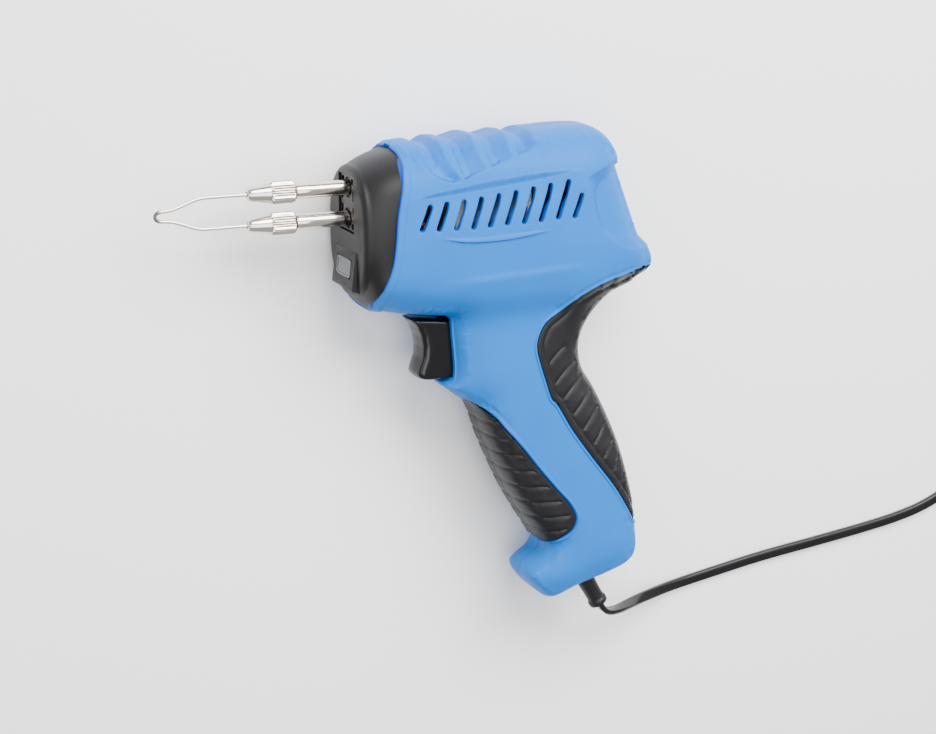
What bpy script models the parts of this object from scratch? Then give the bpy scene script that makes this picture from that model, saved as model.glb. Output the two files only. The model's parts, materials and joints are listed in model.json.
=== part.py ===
# Pistol soldering gun with a one-turn transformer, lying on its right side.
#
# The design frame is in millimetres: X runs from the nose face to the rear, Y from the
# middle of the two rods to the top of the gun, Z from the seam plane to the left side.
# An empty carries the whole gun up by half its width, so that the right side rests on z = 0.

import math

import bmesh
import bpy
from mathutils import Matrix, Vector

MM = 0.001

# ---- driving dimensions, millimetres ----
GAP = 0.3                    # clearance between pieces that touch
WALL = 3.0                   # housing wall
BODY_HALF_WIDTH = 28.0
BODY_ROUND_IN = 17.0         # rounding of the body's edge, seen from the side
BODY_ROUND_DEEP = 22.0       # the same rounding, across the gun
HANDLE_HALF_WIDTH = 18.5
HANDLE_ROUND_IN = 12.0
HANDLE_ROUND_DEEP = 13.0
GRIP_DEPTH = 1.5             # thickness of the rubber inlays

ROD_SPACING = 13.6           # between the two rods' axes
ROD_RADIUS = 3.4
ROD_REACH = 23.6             # from the nose face to the rods' shoulders
ROD_TAIL = 20.0              # length of rod behind the nose face
THREAD_RADIUS = 2.8
THREAD_LENGTH = 9.4
NUT_LENGTH = 21.5
NUT_RADIUS = 4.9
NUT_NOSE_RADIUS = 2.75
WIRE_RADIUS = 0.875          # bent copper tip
WIRE_REACH = 41.7            # from the nuts' noses to the end of the tip

NOSE_TILT = 0.18             # the nose joint's lean, X per Y
NOSE_JOINT_X = 15.3          # the nose joint on the rods' middle line
NOSE_HALF_WIDTH = 26.4
NOSE_FACE_HALF_WIDTH = 23.3
NOSE_WALL = 2.6

TRIGGER_HALF_WIDTH = 7.5
TRIGGER_TRAVEL = 5.0
SWITCH_HALF_WIDTH = 8.0
PLUNGER_RADIUS = 2.0

SCREW_RADIUS = 1.5
SCREW_HEAD_RADIUS = 2.8
SCREW_HEAD_HEIGHT = 2.2
BOSS_RADIUS = 4.2
SCREW_REACH_LEFT = 11.0      # depth of thread in the left half
SCREW_SEAT = 8.0             # from the seam to the head's seat in the right half

CORE_STACK = 26.0            # laminations, along X
CORE_LEG = 12.0
CORE_WINDOW = 11.2
CORE_YOKE = 7.0
CORE_HALF_HEIGHT = 20.0
TURN_RADIUS = 2.5
WINDING_BUILD = 4.0

VENT_COUNT = 10
VENT_PITCH = 8.1
VENT_WIDTH = 2.0
VENT_LEAN = 0.32             # X per Y

CORD_WIDTH = 5.4             # flat two-core cord
CORD_THICKNESS = 3.4
COIL_MID_RADIUS = 29.0
COIL_COLUMNS = 2
COIL_LAYERS = 4

# ---- outlines in the seam plane ----
BODY_OUTLINE = [
    (-20, 14.5), (8, 20.5), (19.6, 23.8), (23.5, 25.6), (34, 26.0), (46, 27.6), (62, 27.9),
    (84, 28.2), (107, 28.4), (114, 27.3), (119, 24.4), (123.6, 19.5), (127, 12.5), (130.4, 4),
    (134.5, -6), (138.6, -16), (142.5, -25), (145.3, -32), (145.4, -37), (142, -40.8),
    (134, -44.4), (120, -49), (100, -53), (70, -54.5), (47, -53.4), (22, -50.4),
    (8, -47.4), (-20, -40),
]
BODY_SPINE = ((30, -14), (110, -10))

HANDLE_OUTLINE = [
    (47, -44), (60, -36), (112, -34), (136, -43.8), (125, -49.4), (118, -55), (112.5, -61.8),
    (109.6, -68.5), (109.2, -76), (111, -83), (116.2, -91.5), (121.4, -101.2), (127.6, -114.6),
    (132, -126.4), (135.4, -138), (138.4, -151), (140, -164), (140.6, -172.6), (138.8, -178),
    (134.4, -181.8), (125, -185.2), (110, -189.2), (96.4, -193.4), (92, -191.8), (86.6, -187.4),
    (82.8, -182.4), (82, -179.4), (84.6, -175.4), (92.4, -169.6), (91, -164.6), (83, -151.6),
    (75.6, -138.6), (69.8, -126.2), (64.4, -113.6), (60.6, -102.6), (57.2, -96), (46.6, -88.6),
    (43, -85), (46.6, -82.6),
]
HANDLE_SPINE = ((80, -52), (116, -172))

REAR_GRIP_EDGE = [
    (137, -45.4), (124, -49.4), (108, -53.8), (97.4, -57), (89.2, -60.4), (85.4, -66), (84.8, -71.4),
    (86.6, -78.4), (89.6, -87), (93.6, -96), (103.1, -110.7), (114.3, -126), (125.6, -140.8),
    (132.6, -151.4), (135.4, -158.6),
]
REAR_GRIP_OUTSIDE = [(152, -158.6), (152, -45.4)]

FRONT_GRIP_EDGE = [
    (56.4, -94.4), (63.7, -99.6), (70.2, -107.2), (78.6, -117.6), (87, -128.4), (95.6, -139.2),
    (102.4, -147.4), (105.2, -153.4), (104, -158.6), (99.6, -161.8), (91.4, -163), (86, -162.2),
]
FRONT_GRIP_OUTSIDE = [(72, -160), (46, -104), (46, -97)]

TRIGGER_OUTLINE = [
    (26.6, -53.8), (30.2, -57.4), (32.2, -61.8), (33.1, -67), (32.8, -72), (31.4, -76), (30.4, -79.2),
    (31.4, -81.6), (34.4, -82.4), (58, -82.4), (58, -57.6), (46, -55.8), (36, -54.6),
]
TRIGGER_REAR_X = 58.0
SLOT_TOP = -54.9                   # clears the trigger's sloping top when it is pulled

NOSE_MID_Y = -12.7
SCREW_PLACES = [(33, 15.5), (117, 11), (25, -38.6), (129, -33), (80, -96), (118, -152)]

# ---- the cord's route: chosen points from the strain relief to the coil ----
RELIEF_ROOT = (118.4, -190.0)
RELIEF_LEAN = math.radians(30.0)   # of its axis, from straight down towards the rear
RELIEF_LENGTH = 15.0
RELIEF_FLANGE = 3.6 + 1.2 * WALL   # the inner flange's face, behind the foot's wall
CORD_ROUTE = [
    (126.2, -203.51, 0), (127.4, -205.55, -0.05), (129.5, -207.7, -0.9), (132.7, -209.3, -2.3),
    (136.5, -210.1, -4.2), (140.8, -210.4, -6.5), (146.4, -210.5, -9.8), (153, -210.6, -13.7),
    (160.4, -210.7, -17.7), (168, -210.6, -21.2), (176, -210.2, -24), (185, -209.4, -25.8),
    (195, -207.9, -26.3), (208, -205.7, -26.3), (223, -203.2, -26.3), (239, -201, -26.3),
    (256, -199, -26.3), (274, -196.8, -26.3), (292, -194.4, -26.3), (309, -191.6, -26.3),
    (324, -187.8, -26.3), (337, -182.2, -26.3), (346.4, -175.2, -26.3), (351, -169, -26.3),
    (352.9, -163.6, -26.3),
]
COIL_CENTRE = (388.0, -176.0)
PLUG_ROUTE = [
    (365.6, -147.3, -26.3), (371, -142.3, -25.8), (377.4, -136.6, -24.6), (384, -131.7, -23),
    (391, -128.5, -21.6), (398, -127.5, -21.1),
]
PLUG_CENTRE = (414.8, -127.5)


# ---- building blocks ----
def clear_scene():
    for leftover in list(bpy.data.objects):
        bpy.data.objects.remove(leftover)


def new_collection(name):
    collection = bpy.data.collections.new(name)
    bpy.context.scene.collection.children.link(collection)
    return collection


def new_material(name, colour, roughness, metallic=0.0):
    material = bpy.data.materials.new(name)
    material.use_nodes = True
    shader = material.node_tree.nodes["Principled BSDF"]
    shader.inputs["Base Color"].default_value = (*colour, 1.0)
    shader.inputs["Roughness"].default_value = roughness
    shader.inputs["Metallic"].default_value = metallic
    material.diffuse_color = (*colour, 1.0)
    return material


clear_scene()
PARTS = new_collection("soldering_gun")
CUTTERS = new_collection("cutters")
gun = bpy.data.objects.new("gun_frame", None)
PARTS.objects.link(gun)

BLUE = new_material("blue_housing", (0.13, 0.37, 0.70), 0.42)
NOSE_BLACK = new_material("black_nose", (0.022, 0.022, 0.024), 0.38)
RUBBER = new_material("black_rubber", (0.024, 0.024, 0.026), 0.62)
TRIGGER_BLACK = new_material("black_trigger", (0.015, 0.015, 0.017), 0.30)
CHROME = new_material("chrome", (0.72, 0.71, 0.69), 0.14, 1.0)
TINNED = new_material("tinned_copper", (0.60, 0.58, 0.54), 0.30, 1.0)
COPPER = new_material("copper", (0.72, 0.36, 0.20), 0.32, 1.0)
BRASS = new_material("brass", (0.70, 0.53, 0.24), 0.30, 1.0)
STEEL = new_material("zinc_steel", (0.55, 0.56, 0.58), 0.34, 1.0)
LAMINATION = new_material("lamination_steel", (0.24, 0.25, 0.27), 0.50, 1.0)
NYLON = new_material("natural_nylon", (0.80, 0.78, 0.70), 0.50)
TAPE = new_material("yellow_tape", (0.78, 0.60, 0.12), 0.40)
CLEAR = new_material("clear_lens", (0.62, 0.65, 0.70), 0.08)
BOARD_GREEN = new_material("board_green", (0.05, 0.24, 0.12), 0.45)
LED_WHITE = new_material("led_resin", (0.90, 0.90, 0.84), 0.12)
PHENOLIC = new_material("black_phenolic", (0.035, 0.033, 0.030), 0.55)
WIRE_BROWN = new_material("brown_wire", (0.20, 0.08, 0.04), 0.40)
WIRE_BLUE = new_material("blue_wire", (0.05, 0.16, 0.50), 0.40)
CORD_BLACK = new_material("black_cord", (0.018, 0.018, 0.020), 0.28)


def link_part(obj, material):
    """Files an object as one of the gun's parts, under the frame that carries them all."""
    PARTS.objects.link(obj)
    obj.parent = gun
    obj.data.materials.clear()
    obj.data.materials.append(material)
    return obj


def link_cutter(obj):
    CUTTERS.objects.link(obj)
    obj.parent = gun
    obj.hide_render = True
    obj.display_type = "WIRE"
    return obj


def mesh_object(name, shape):
    """Turns a bmesh in millimetres into an object in metres."""
    bmesh.ops.scale(shape, vec=(MM, MM, MM), verts=shape.verts)
    bmesh.ops.recalc_face_normals(shape, faces=shape.faces)
    mesh = bpy.data.meshes.new(name)
    shape.to_mesh(mesh)
    shape.free()
    return bpy.data.objects.new(name, mesh)


def round_shading(obj, degrees=35):
    obj.data.shade_smooth()
    obj.data.set_sharp_from_angle(angle=math.radians(degrees))
    return obj


def loft(name, rings):
    """Skins rings of equal length, lowest first, and closes both ends."""
    shape = bmesh.new()
    loops = [[shape.verts.new(point) for point in ring] for ring in rings]
    count = len(rings[0])
    for low, high in zip(loops, loops[1:]):
        for i in range(count):
            j = (i + 1) % count
            shape.faces.new((low[i], low[j], high[j], high[i]))
    shape.faces.new(reversed(loops[0]))
    shape.faces.new(loops[-1])
    return mesh_object(name, shape)


def box(name, low, high):
    shape = bmesh.new()
    bmesh.ops.create_cube(shape, size=1.0)
    size = Vector(high) - Vector(low)
    centre = (Vector(high) + Vector(low)) / 2
    bmesh.ops.transform(shape, matrix=Matrix.Translation(centre) @ Matrix.Diagonal((*size, 1)),
                        verts=shape.verts)
    return mesh_object(name, shape)


def rod(name, radius, start, end, sides=16):
    """A cylinder between two points."""
    start, end = Vector(start), Vector(end)
    shape = bmesh.new()
    turn = (end - start).to_track_quat("Z", "Y").to_matrix().to_4x4()
    bmesh.ops.create_cone(shape, cap_ends=True, segments=sides, radius1=radius, radius2=radius,
                          depth=(end - start).length,
                          matrix=Matrix.Translation((start + end) / 2) @ turn)
    return mesh_object(name, shape)


def turned(name, profile, place, direction, steps=24):
    """A turned piece: (radius, distance) pairs, farthest first on the outer side."""
    mesh = bpy.data.meshes.new(name)
    points = [(radius * MM, 0, along * MM) for radius, along in profile]
    hollow = profile[0][0] > 0
    edges = [(i, i + 1) for i in range(len(points) - 1)]
    if hollow:
        edges.append((len(points) - 1, 0))
    mesh.from_pydata(points, edges, [])
    obj = bpy.data.objects.new(name, mesh)
    screw = obj.modifiers.new("turning", "SCREW")
    screw.axis = "Z"
    screw.steps = screw.render_steps = steps
    screw.use_merge_vertices = True
    screw.merge_threshold = 0.00001
    screw.use_smooth_shade = True
    obj.location = Vector(place) * MM
    obj.rotation_mode = "QUATERNION"
    obj.rotation_quaternion = Vector(direction).to_track_quat("Z", "Y")
    return obj


def solid_from_curve(curve):
    """Makes a closed mesh of a curve object, with its caps welded."""
    bpy.context.scene.collection.objects.link(curve)
    bpy.context.view_layer.update()
    evaluated = curve.evaluated_get(bpy.context.evaluated_depsgraph_get())
    mesh = bpy.data.meshes.new_from_object(evaluated)
    shape = bmesh.new()
    shape.from_mesh(mesh)
    bmesh.ops.remove_doubles(shape, verts=shape.verts, dist=0.000001)
    bmesh.ops.recalc_face_normals(shape, faces=shape.faces)
    shape.to_mesh(mesh)
    shape.free()
    name, place, data = curve.name, curve.matrix_world.copy(), curve.data
    bpy.data.objects.remove(curve)
    bpy.data.curves.remove(data)
    solid = bpy.data.objects.new(name, mesh)
    solid.matrix_world = place
    return solid


def prism(name, outline, low, high, grow=0.0):
    """A flat outline with a thickness along Z."""
    curve = bpy.data.curves.new(name, "CURVE")
    curve.dimensions = "2D"
    curve.fill_mode = "BOTH"
    curve.extrude = (high - low) / 2 * MM
    spline = curve.splines.new("POLY")
    spline.points.add(len(outline) - 1)
    for point, place in zip(spline.points, outline):
        point.co = (place[0] * MM, place[1] * MM, 0, 1)
    spline.use_cyclic_u = True
    curve.offset = grow * MM
    obj = bpy.data.objects.new(name, curve)
    obj.location.z = (high + low) / 2 * MM
    return solid_from_curve(obj)


def tube(name, points, radius, resolution=2):
    """A wire or cord along points, as a bevelled curve."""
    curve = bpy.data.curves.new(name, "CURVE")
    curve.dimensions = "3D"
    curve.bevel_depth = radius * MM
    curve.bevel_resolution = resolution
    curve.use_fill_caps = True
    spline = curve.splines.new("POLY")
    spline.points.add(len(points) - 1)
    for point, place in zip(spline.points, points):
        point.co = (place[0] * MM, place[1] * MM, place[2] * MM, 1)
    return bpy.data.objects.new(name, curve)


def smooth_path(points, spacing):
    """Points at an even spacing on a smooth curve through the given ones."""
    places = [Vector(point) for point in points]
    places = [2 * places[0] - places[1]] + places + [2 * places[-1] - places[-2]]
    dense = []
    for a, b, c, d in zip(places, places[1:], places[2:], places[3:]):
        for step in range(24):
            t = step / 24
            dense.append(0.5 * (2 * b + (c - a) * t + (2 * a - 5 * b + 4 * c - d) * t * t
                                + (3 * b - a - 3 * c + d) * t ** 3))
    dense.append(places[-2])
    length = sum((q - p).length for p, q in zip(dense, dense[1:]))
    count = max(2, round(length / spacing))
    even, travelled, target = [dense[0]], 0.0, length / count
    for p, q in zip(dense, dense[1:]):
        step = (q - p).length
        while travelled + step >= target and len(even) < count:
            even.append(p.lerp(q, (target - travelled) / step))
            target += length / count
        travelled += step
    even.append(dense[-1])
    return even


def boolean(target, other, operation):
    modifier = target.modifiers.new(f"{operation.lower()}_{other.name}"[:60], "BOOLEAN")
    modifier.operation = operation
    modifier.object = other
    modifier.solver = "EXACT"


def cut(target, *others):
    for other in others:
        boolean(target, other, "DIFFERENCE")


def join(target, *others):
    for other in others:
        boolean(target, other, "UNION")


def towards_spine(point, spine, distance):
    """Moves an outline point towards the nearest point of a spine."""
    start, end = Vector(spine[0]), Vector(spine[1])
    place = Vector(point)
    along = (place - start).dot(end - start) / (end - start).length_squared
    nearest = start + (end - start) * min(max(along, 0.0), 1.0)
    return place + (nearest - place).normalized() * distance


def pillow(name, outline, spine, half_width, round_in, round_deep, inset):
    """A rounded slab about the seam plane: its outline shrinks towards each cheek."""
    steps = 3
    levels = []
    for step in range(steps + 1):
        angle = math.pi / 2 * step / steps
        shrink = inset + (round_in - inset) * (1 - math.cos(angle))
        height = half_width - round_deep + (round_deep - inset) * math.sin(angle)
        levels.append((shrink, height))
    levels = [(shrink, -height) for shrink, height in reversed(levels)] + levels
    rings = [[(*towards_spine(point, spine, shrink), height) for point in outline]
             for shrink, height in levels]
    return loft(name, rings)


def body_shape(name, inset):
    return pillow(name, BODY_OUTLINE, BODY_SPINE, BODY_HALF_WIDTH, BODY_ROUND_IN, BODY_ROUND_DEEP,
                  inset)


def handle_shape(name, inset):
    return pillow(name, HANDLE_OUTLINE, HANDLE_SPINE, HANDLE_HALF_WIDTH, HANDLE_ROUND_IN,
                  HANDLE_ROUND_DEEP, inset)


ROD_Y = ROD_SPACING / 2
RELIEF_AXIS = Vector((math.sin(RELIEF_LEAN), -math.cos(RELIEF_LEAN), 0))
WIDE = BODY_HALF_WIDTH + 12
SIDES = {"left": 1, "right": -1}


def half_space(name, side):
    """Everything beyond the seam, seen from one half."""
    seam = GAP / 2
    low, high = (-WIDE, seam) if side > 0 else (-seam, WIDE)
    return link_cutter(box(name, (-140, -260, low), (220, 90, high)))


def at_relief(distance):
    return Vector((*RELIEF_ROOT, 0)) + RELIEF_AXIS * distance


# ---- nose ----
def nose_ring(mid_x, tilt, half_height, half_width, inset=0.0, count=32):
    """One section of the nose: a soft rectangle on a plane that may lean."""
    ring = []
    for i in range(count):
        angle = 2 * math.pi * i / count
        c, s = math.cos(angle), math.sin(angle)
        soft = 2 / 2.7
        y = NOSE_MID_Y + (half_height - inset) * math.copysign(abs(c) ** soft, c)
        z = (half_width - inset) * math.copysign(abs(s) ** soft, s)
        ring.append((mid_x + tilt * y, y, z))
    return ring


NOSE_HEIGHT = 34.0
NOSE_FACE_HEIGHT = 29.4
INSERT_HALF = (12.4, 9.0)     # rod insulator, Y and Z
INSERT_DEPTH = 13.0
WINDOW_Y = (-32.4, -24.2)
WINDOW_HALF = 8.6


def make_nose():
    front = [nose_ring(0, 0, NOSE_FACE_HEIGHT - 1.6, NOSE_FACE_HALF_WIDTH - 1.6),
             nose_ring(0.7, 0.01, NOSE_FACE_HEIGHT - 0.4, NOSE_FACE_HALF_WIDTH - 0.4),
             nose_ring(2.4, 0.03, NOSE_FACE_HEIGHT + 0.4, NOSE_FACE_HALF_WIDTH + 0.4),
             nose_ring(NOSE_JOINT_X / 2, 0.09, NOSE_HEIGHT - 1.6, NOSE_HALF_WIDTH - 1.0),
             nose_ring(NOSE_JOINT_X, NOSE_TILT, NOSE_HEIGHT, NOSE_HALF_WIDTH)]
    spigot = WALL + GAP
    front += [nose_ring(NOSE_JOINT_X + 0.05, NOSE_TILT, NOSE_HEIGHT, NOSE_HALF_WIDTH, spigot - 1.0),
              nose_ring(NOSE_JOINT_X + 5, NOSE_TILT, NOSE_HEIGHT, NOSE_HALF_WIDTH, spigot - 1.0)]
    nose = loft("nose_cap", front)
    hollow = link_cutter(loft("nose_hollow", [
        nose_ring(NOSE_WALL, 0, NOSE_FACE_HEIGHT, NOSE_FACE_HALF_WIDTH, NOSE_WALL),
        nose_ring(NOSE_JOINT_X, NOSE_TILT, NOSE_HEIGHT, NOSE_HALF_WIDTH, spigot + 1.4),
        nose_ring(NOSE_JOINT_X + 9, NOSE_TILT, NOSE_HEIGHT, NOSE_HALF_WIDTH, spigot + 1.4)]))
    wedge = link_cutter(prism("nose_wedge", [(1, -19.5), (-0.4, -20.5), (-2.6, -37.2), (1, -38.4)],
                              -13, 13))
    socket = link_cutter(box("insert_hole", (-4, -INSERT_HALF[0] - GAP, -INSERT_HALF[1] - GAP),
                             (6, INSERT_HALF[0] + GAP, INSERT_HALF[1] + GAP)))
    window = link_cutter(box("window_hole", (-6, WINDOW_Y[0] - GAP, -WINDOW_HALF - GAP),
                             (6, WINDOW_Y[1] + GAP, WINDOW_HALF + GAP)))
    join(nose, wedge)
    cut(nose, hollow, socket, window)
    return link_part(nose, NOSE_BLACK)


def make_insulator():
    """The dark heat-resistant block that holds both rods in the nose."""
    block = box("rod_insulator", (-0.8, -INSERT_HALF[0], -INSERT_HALF[1]),
                (INSERT_DEPTH, INSERT_HALF[0], INSERT_HALF[1]))
    flange = link_cutter(box("insulator_flange",
                             (NOSE_WALL + GAP, -INSERT_HALF[0] - 2.5, -INSERT_HALF[1] - 2.5),
                             (NOSE_WALL + 3, INSERT_HALF[0] - 1.2, INSERT_HALF[1] + 2.5)))
    join(block, flange)
    for side in (1, -1):
        bore = rod(f"rod_bore_{side}", ROD_RADIUS + GAP, (-5, side * ROD_Y, 0),
                   (INSERT_DEPTH + 5, side * ROD_Y, 0))
        cut(block, link_cutter(bore))
    return link_part(block, PHENOLIC)


def make_lamp():
    lens_y = (WINDOW_Y[0] + WINDOW_Y[1]) / 2
    lean = prism("lamp_lens", [(-1.2, WINDOW_Y[1]), (-2.1, WINDOW_Y[0]), (0.6, WINDOW_Y[0]),
                               (0.6, WINDOW_Y[1])], -WINDOW_HALF, WINDOW_HALF)
    link_part(lean, CLEAR)
    board_x = 9.4
    board = box("lamp_board", (board_x, lens_y - 5.5, -9), (board_x + 1.6, lens_y + 5.5, 9))
    link_part(board, BOARD_GREEN)
    led = turned("lamp_led", [(0, 7.6), (1.5, 7.2), (2.4, 5.8), (2.5, 5.0), (2.5, 1), (2.9, 1),
                              (2.9, 0), (0, 0)], (board_x - GAP, lens_y, 0), (-1, 0, 0), 14)
    link_part(led, LED_WHITE)


# ---- rods, collets, nuts and tip ----
def make_rod(word, side):
    place = (0, side * ROD_Y, 0)
    tip = ROD_REACH + THREAD_LENGTH
    bore = WIRE_RADIUS + GAP
    piece = turned(f"{word}_rod", [
        (THREAD_RADIUS - 0.4, tip), (THREAD_RADIUS, tip - 0.5), (THREAD_RADIUS, ROD_REACH),
        (ROD_RADIUS - 0.3, ROD_REACH), (ROD_RADIUS, ROD_REACH - 0.4), (ROD_RADIUS, -ROD_TAIL),
        (0, -ROD_TAIL), (0, ROD_REACH), (bore, ROD_REACH), (bore, tip)][:-3]
        + [(0, tip - 6), (bore, tip - 6), (bore, tip)], place, (-1, 0, 0), 20)
    return link_part(piece, CHROME)


def make_collet(word, side):
    start = ROD_REACH + THREAD_LENGTH + GAP
    end = ROD_REACH + NUT_LENGTH - 1.0
    bore = WIRE_RADIUS + GAP / 2
    piece = turned(f"{word}_collet", [
        (NUT_NOSE_RADIUS - 1.0, end), (THREAD_RADIUS - 0.3, start + 1.4), (THREAD_RADIUS - 0.3, start),
        (bore, start), (bore, end)], (0, side * ROD_Y, 0), (-1, 0, 0), 16)
    return link_part(piece, BRASS)


def make_nut(word, side):
    start = ROD_REACH + GAP
    end = ROD_REACH + GAP + NUT_LENGTH
    cone = end - 10.3
    thread = THREAD_RADIUS + GAP
    thread_end = ROD_REACH + THREAD_LENGTH + GAP
    piece = turned(f"{word}_collet_nut", [
        (NUT_NOSE_RADIUS, end), (NUT_NOSE_RADIUS + 0.35, end - 0.8), (NUT_RADIUS - 0.35, cone + 0.3),
        (NUT_RADIUS - 0.35, cone), (NUT_RADIUS, cone - 0.5), (NUT_RADIUS, start + 0.6),
        (NUT_RADIUS - 0.5, start), (thread, start), (thread, thread_end + 1.6),
        (NUT_NOSE_RADIUS - 0.55, end - 0.7), (WIRE_RADIUS + 0.4, end - 0.6),
        (WIRE_RADIUS + 0.4, end)], (0, side * ROD_Y, 0), (-1, 0, 0), 24)
    return link_part(piece, CHROME)


NOSE_OF_NUT = ROD_REACH + GAP + NUT_LENGTH
TIP_X = -(NOSE_OF_NUT + WIRE_REACH)


def make_tip():
    """One bent wire: both legs run straight, close in and meet at the point."""
    inside = ROD_REACH + THREAD_LENGTH + 1.0
    leg = [(-inside, ROD_Y), (TIP_X + 24.6, ROD_Y), (TIP_X + 21.4, ROD_Y - 0.1),
           (TIP_X + 18.6, ROD_Y - 0.7), (TIP_X + 9.4, 2.9), (TIP_X + 7, 2.4), (TIP_X + 2.9, 2.0),
           (TIP_X + 1.6, 1.5), (TIP_X + 0.9, 0.6)]
    route = [(x, y, 0) for x, y in leg] + [(x, -y, 0) for x, y in reversed(leg)]
    return link_part(tube("soldering_tip", smooth_path(route, 3.0), WIRE_RADIUS), TINNED)


# ---- transformer ----
CORE_MID_X = 65.0
CORE_MID_Y = -8.0
LEG_HALF = CORE_LEG / 2
OUTER_HALF = LEG_HALF + CORE_WINDOW + LEG_HALF


def make_core():
    half = CORE_STACK / 2
    y = CORE_MID_Y
    core = box("transformer_core", (CORE_MID_X - half, y - OUTER_HALF, -CORE_HALF_HEIGHT),
               (CORE_MID_X + half, y + OUTER_HALF, CORE_HALF_HEIGHT))
    reach = CORE_HALF_HEIGHT - CORE_YOKE
    for side in (1, -1):
        edges = sorted((y + side * LEG_HALF, y + side * (LEG_HALF + CORE_WINDOW)))
        window = box(f"core_window_{side}", (CORE_MID_X - half - 3, edges[0], -reach),
                     (CORE_MID_X + half + 3, edges[1], reach))
        cut(core, link_cutter(window))
    return link_part(core, LAMINATION)


def sleeve(name, inner, outer, low, high):
    """A rectangular sleeve about the core's middle leg; inner and outer are half sizes."""
    x, y = CORE_MID_X, CORE_MID_Y
    ring = box(name, (x - outer[0], y - outer[1], low), (x + outer[0], y + outer[1], high))
    bore = box(f"{name}_bore", (x - inner[0], y - inner[1], low - 3),
               (x + inner[0], y + inner[1], high + 3))
    cut(ring, link_cutter(bore))
    return ring


def make_windings():
    reach = CORE_HALF_HEIGHT - CORE_YOKE - GAP
    inner = (CORE_STACK / 2 + GAP, LEG_HALF + GAP)
    tube_half = (inner[0] + 1, inner[1] + 1)
    flange = (tube_half[0] + WINDING_BUILD, tube_half[1] + WINDING_BUILD)
    bobbin = sleeve("winding_bobbin", inner, tube_half, -reach, reach)
    for word, low, high in (("low", -reach, -reach + 1.2), ("high", reach - 1.2, reach)):
        plate = link_cutter(box(f"flange_{word}", (CORE_MID_X - flange[0], CORE_MID_Y - flange[1], low),
                                (CORE_MID_X + flange[0], CORE_MID_Y + flange[1], high)))
        join(bobbin, plate)
        bore = link_cutter(box(f"flange_bore_{word}",
                               (CORE_MID_X - inner[0], CORE_MID_Y - inner[1], low - 1),
                               (CORE_MID_X + inner[0], CORE_MID_Y + inner[1], high + 1)))
        cut(bobbin, bore)
    link_part(bobbin, NYLON)
    half = reach - 1.2 - GAP
    inside = (tube_half[0] + GAP, tube_half[1] + GAP)
    winding = sleeve("primary_winding", inside, (flange[0] - 0.4, flange[1] - 0.4), -half, half)
    link_part(winding, TAPE)
    return flange


def make_turn(flange):
    """The one-turn secondary: thick copper from one rod round the winding to the other."""
    start = ROD_TAIL + GAP
    reach_y = flange[1] + GAP + TURN_RADIUS
    back = CORE_MID_X + flange[0] + GAP + TURN_RADIUS
    front = CORE_MID_X - CORE_STACK / 2 - 4
    high, low = CORE_MID_Y + reach_y, CORE_MID_Y - reach_y
    route = [(start, ROD_Y, 0), (start + 8, ROD_Y, 0), (front - 6, high + 0.1, 0), (front, high, 0),
             (back - 3.2, high, 0), (back - 0.9, high - 0.9, 0), (back, high - 3.2, 0),
             (back, low + 3.2, 0), (back - 0.9, low + 0.9, 0), (back - 3.2, low, 0),
             (front, low, 0), (front - 5, low + 1.4, 0), (start + 10, -ROD_Y - 1.6, 0),
             (start + 5, -ROD_Y, 0), (start, -ROD_Y, 0)]
    return link_part(tube("secondary_turn", route, TURN_RADIUS), COPPER)


# ---- housing ----
def make_cavity():
    """The room inside the housing, less the screw bosses that stand in it."""
    cavity = body_shape("cavity", WALL)
    join(cavity, link_cutter(handle_shape("cavity_handle", WALL)))
    for i, (x, y) in enumerate(SCREW_PLACES, 1):
        cut(cavity, link_cutter(rod(f"boss_{i}", BOSS_RADIUS, (x, y, -WIDE), (x, y, WIDE), 12)))
    return link_cutter(cavity)


def make_vents():
    """One cutter for all the slots: each leans with the crease above it."""
    shape = bmesh.new()
    lean = Matrix.Identity(4)
    lean[0][1] = VENT_LEAN
    low, high = BODY_HALF_WIDTH - WALL - 4, BODY_HALF_WIDTH + 4
    for i in range(VENT_COUNT):
        bottom_x, bottom_y = 25.7 + VENT_PITCH * i, -10.8
        top_y = 1.2 + 0.8 * i if i < VENT_COUNT - 1 else 1.2
        length = top_y - bottom_y
        for side in (1, -1):
            middle = (bottom_x + VENT_LEAN * length / 2, bottom_y + length / 2, side * (low + high) / 2)
            matrix = Matrix.Translation(middle) @ lean @ Matrix.Diagonal((VENT_WIDTH, length, high - low, 1))
            bmesh.ops.create_cube(shape, size=1.0, matrix=matrix)
    return link_cutter(mesh_object("vent_slots", shape))


def nose_plane(shift):
    """Everything in front of the nose joint."""
    ahead = NOSE_JOINT_X + shift
    outline = [(ahead + NOSE_TILT * 60, 60), (-80, 60), (-80, -80), (ahead - NOSE_TILT * 80, -80)]
    return link_cutter(prism("ahead_of_joint", outline, -WIDE, WIDE))


def grip_prism(name, edge, outside, grow, side):
    low, high = sorted((0, side * WIDE))
    return link_cutter(prism(name, edge + outside, low, high, grow))


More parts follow.
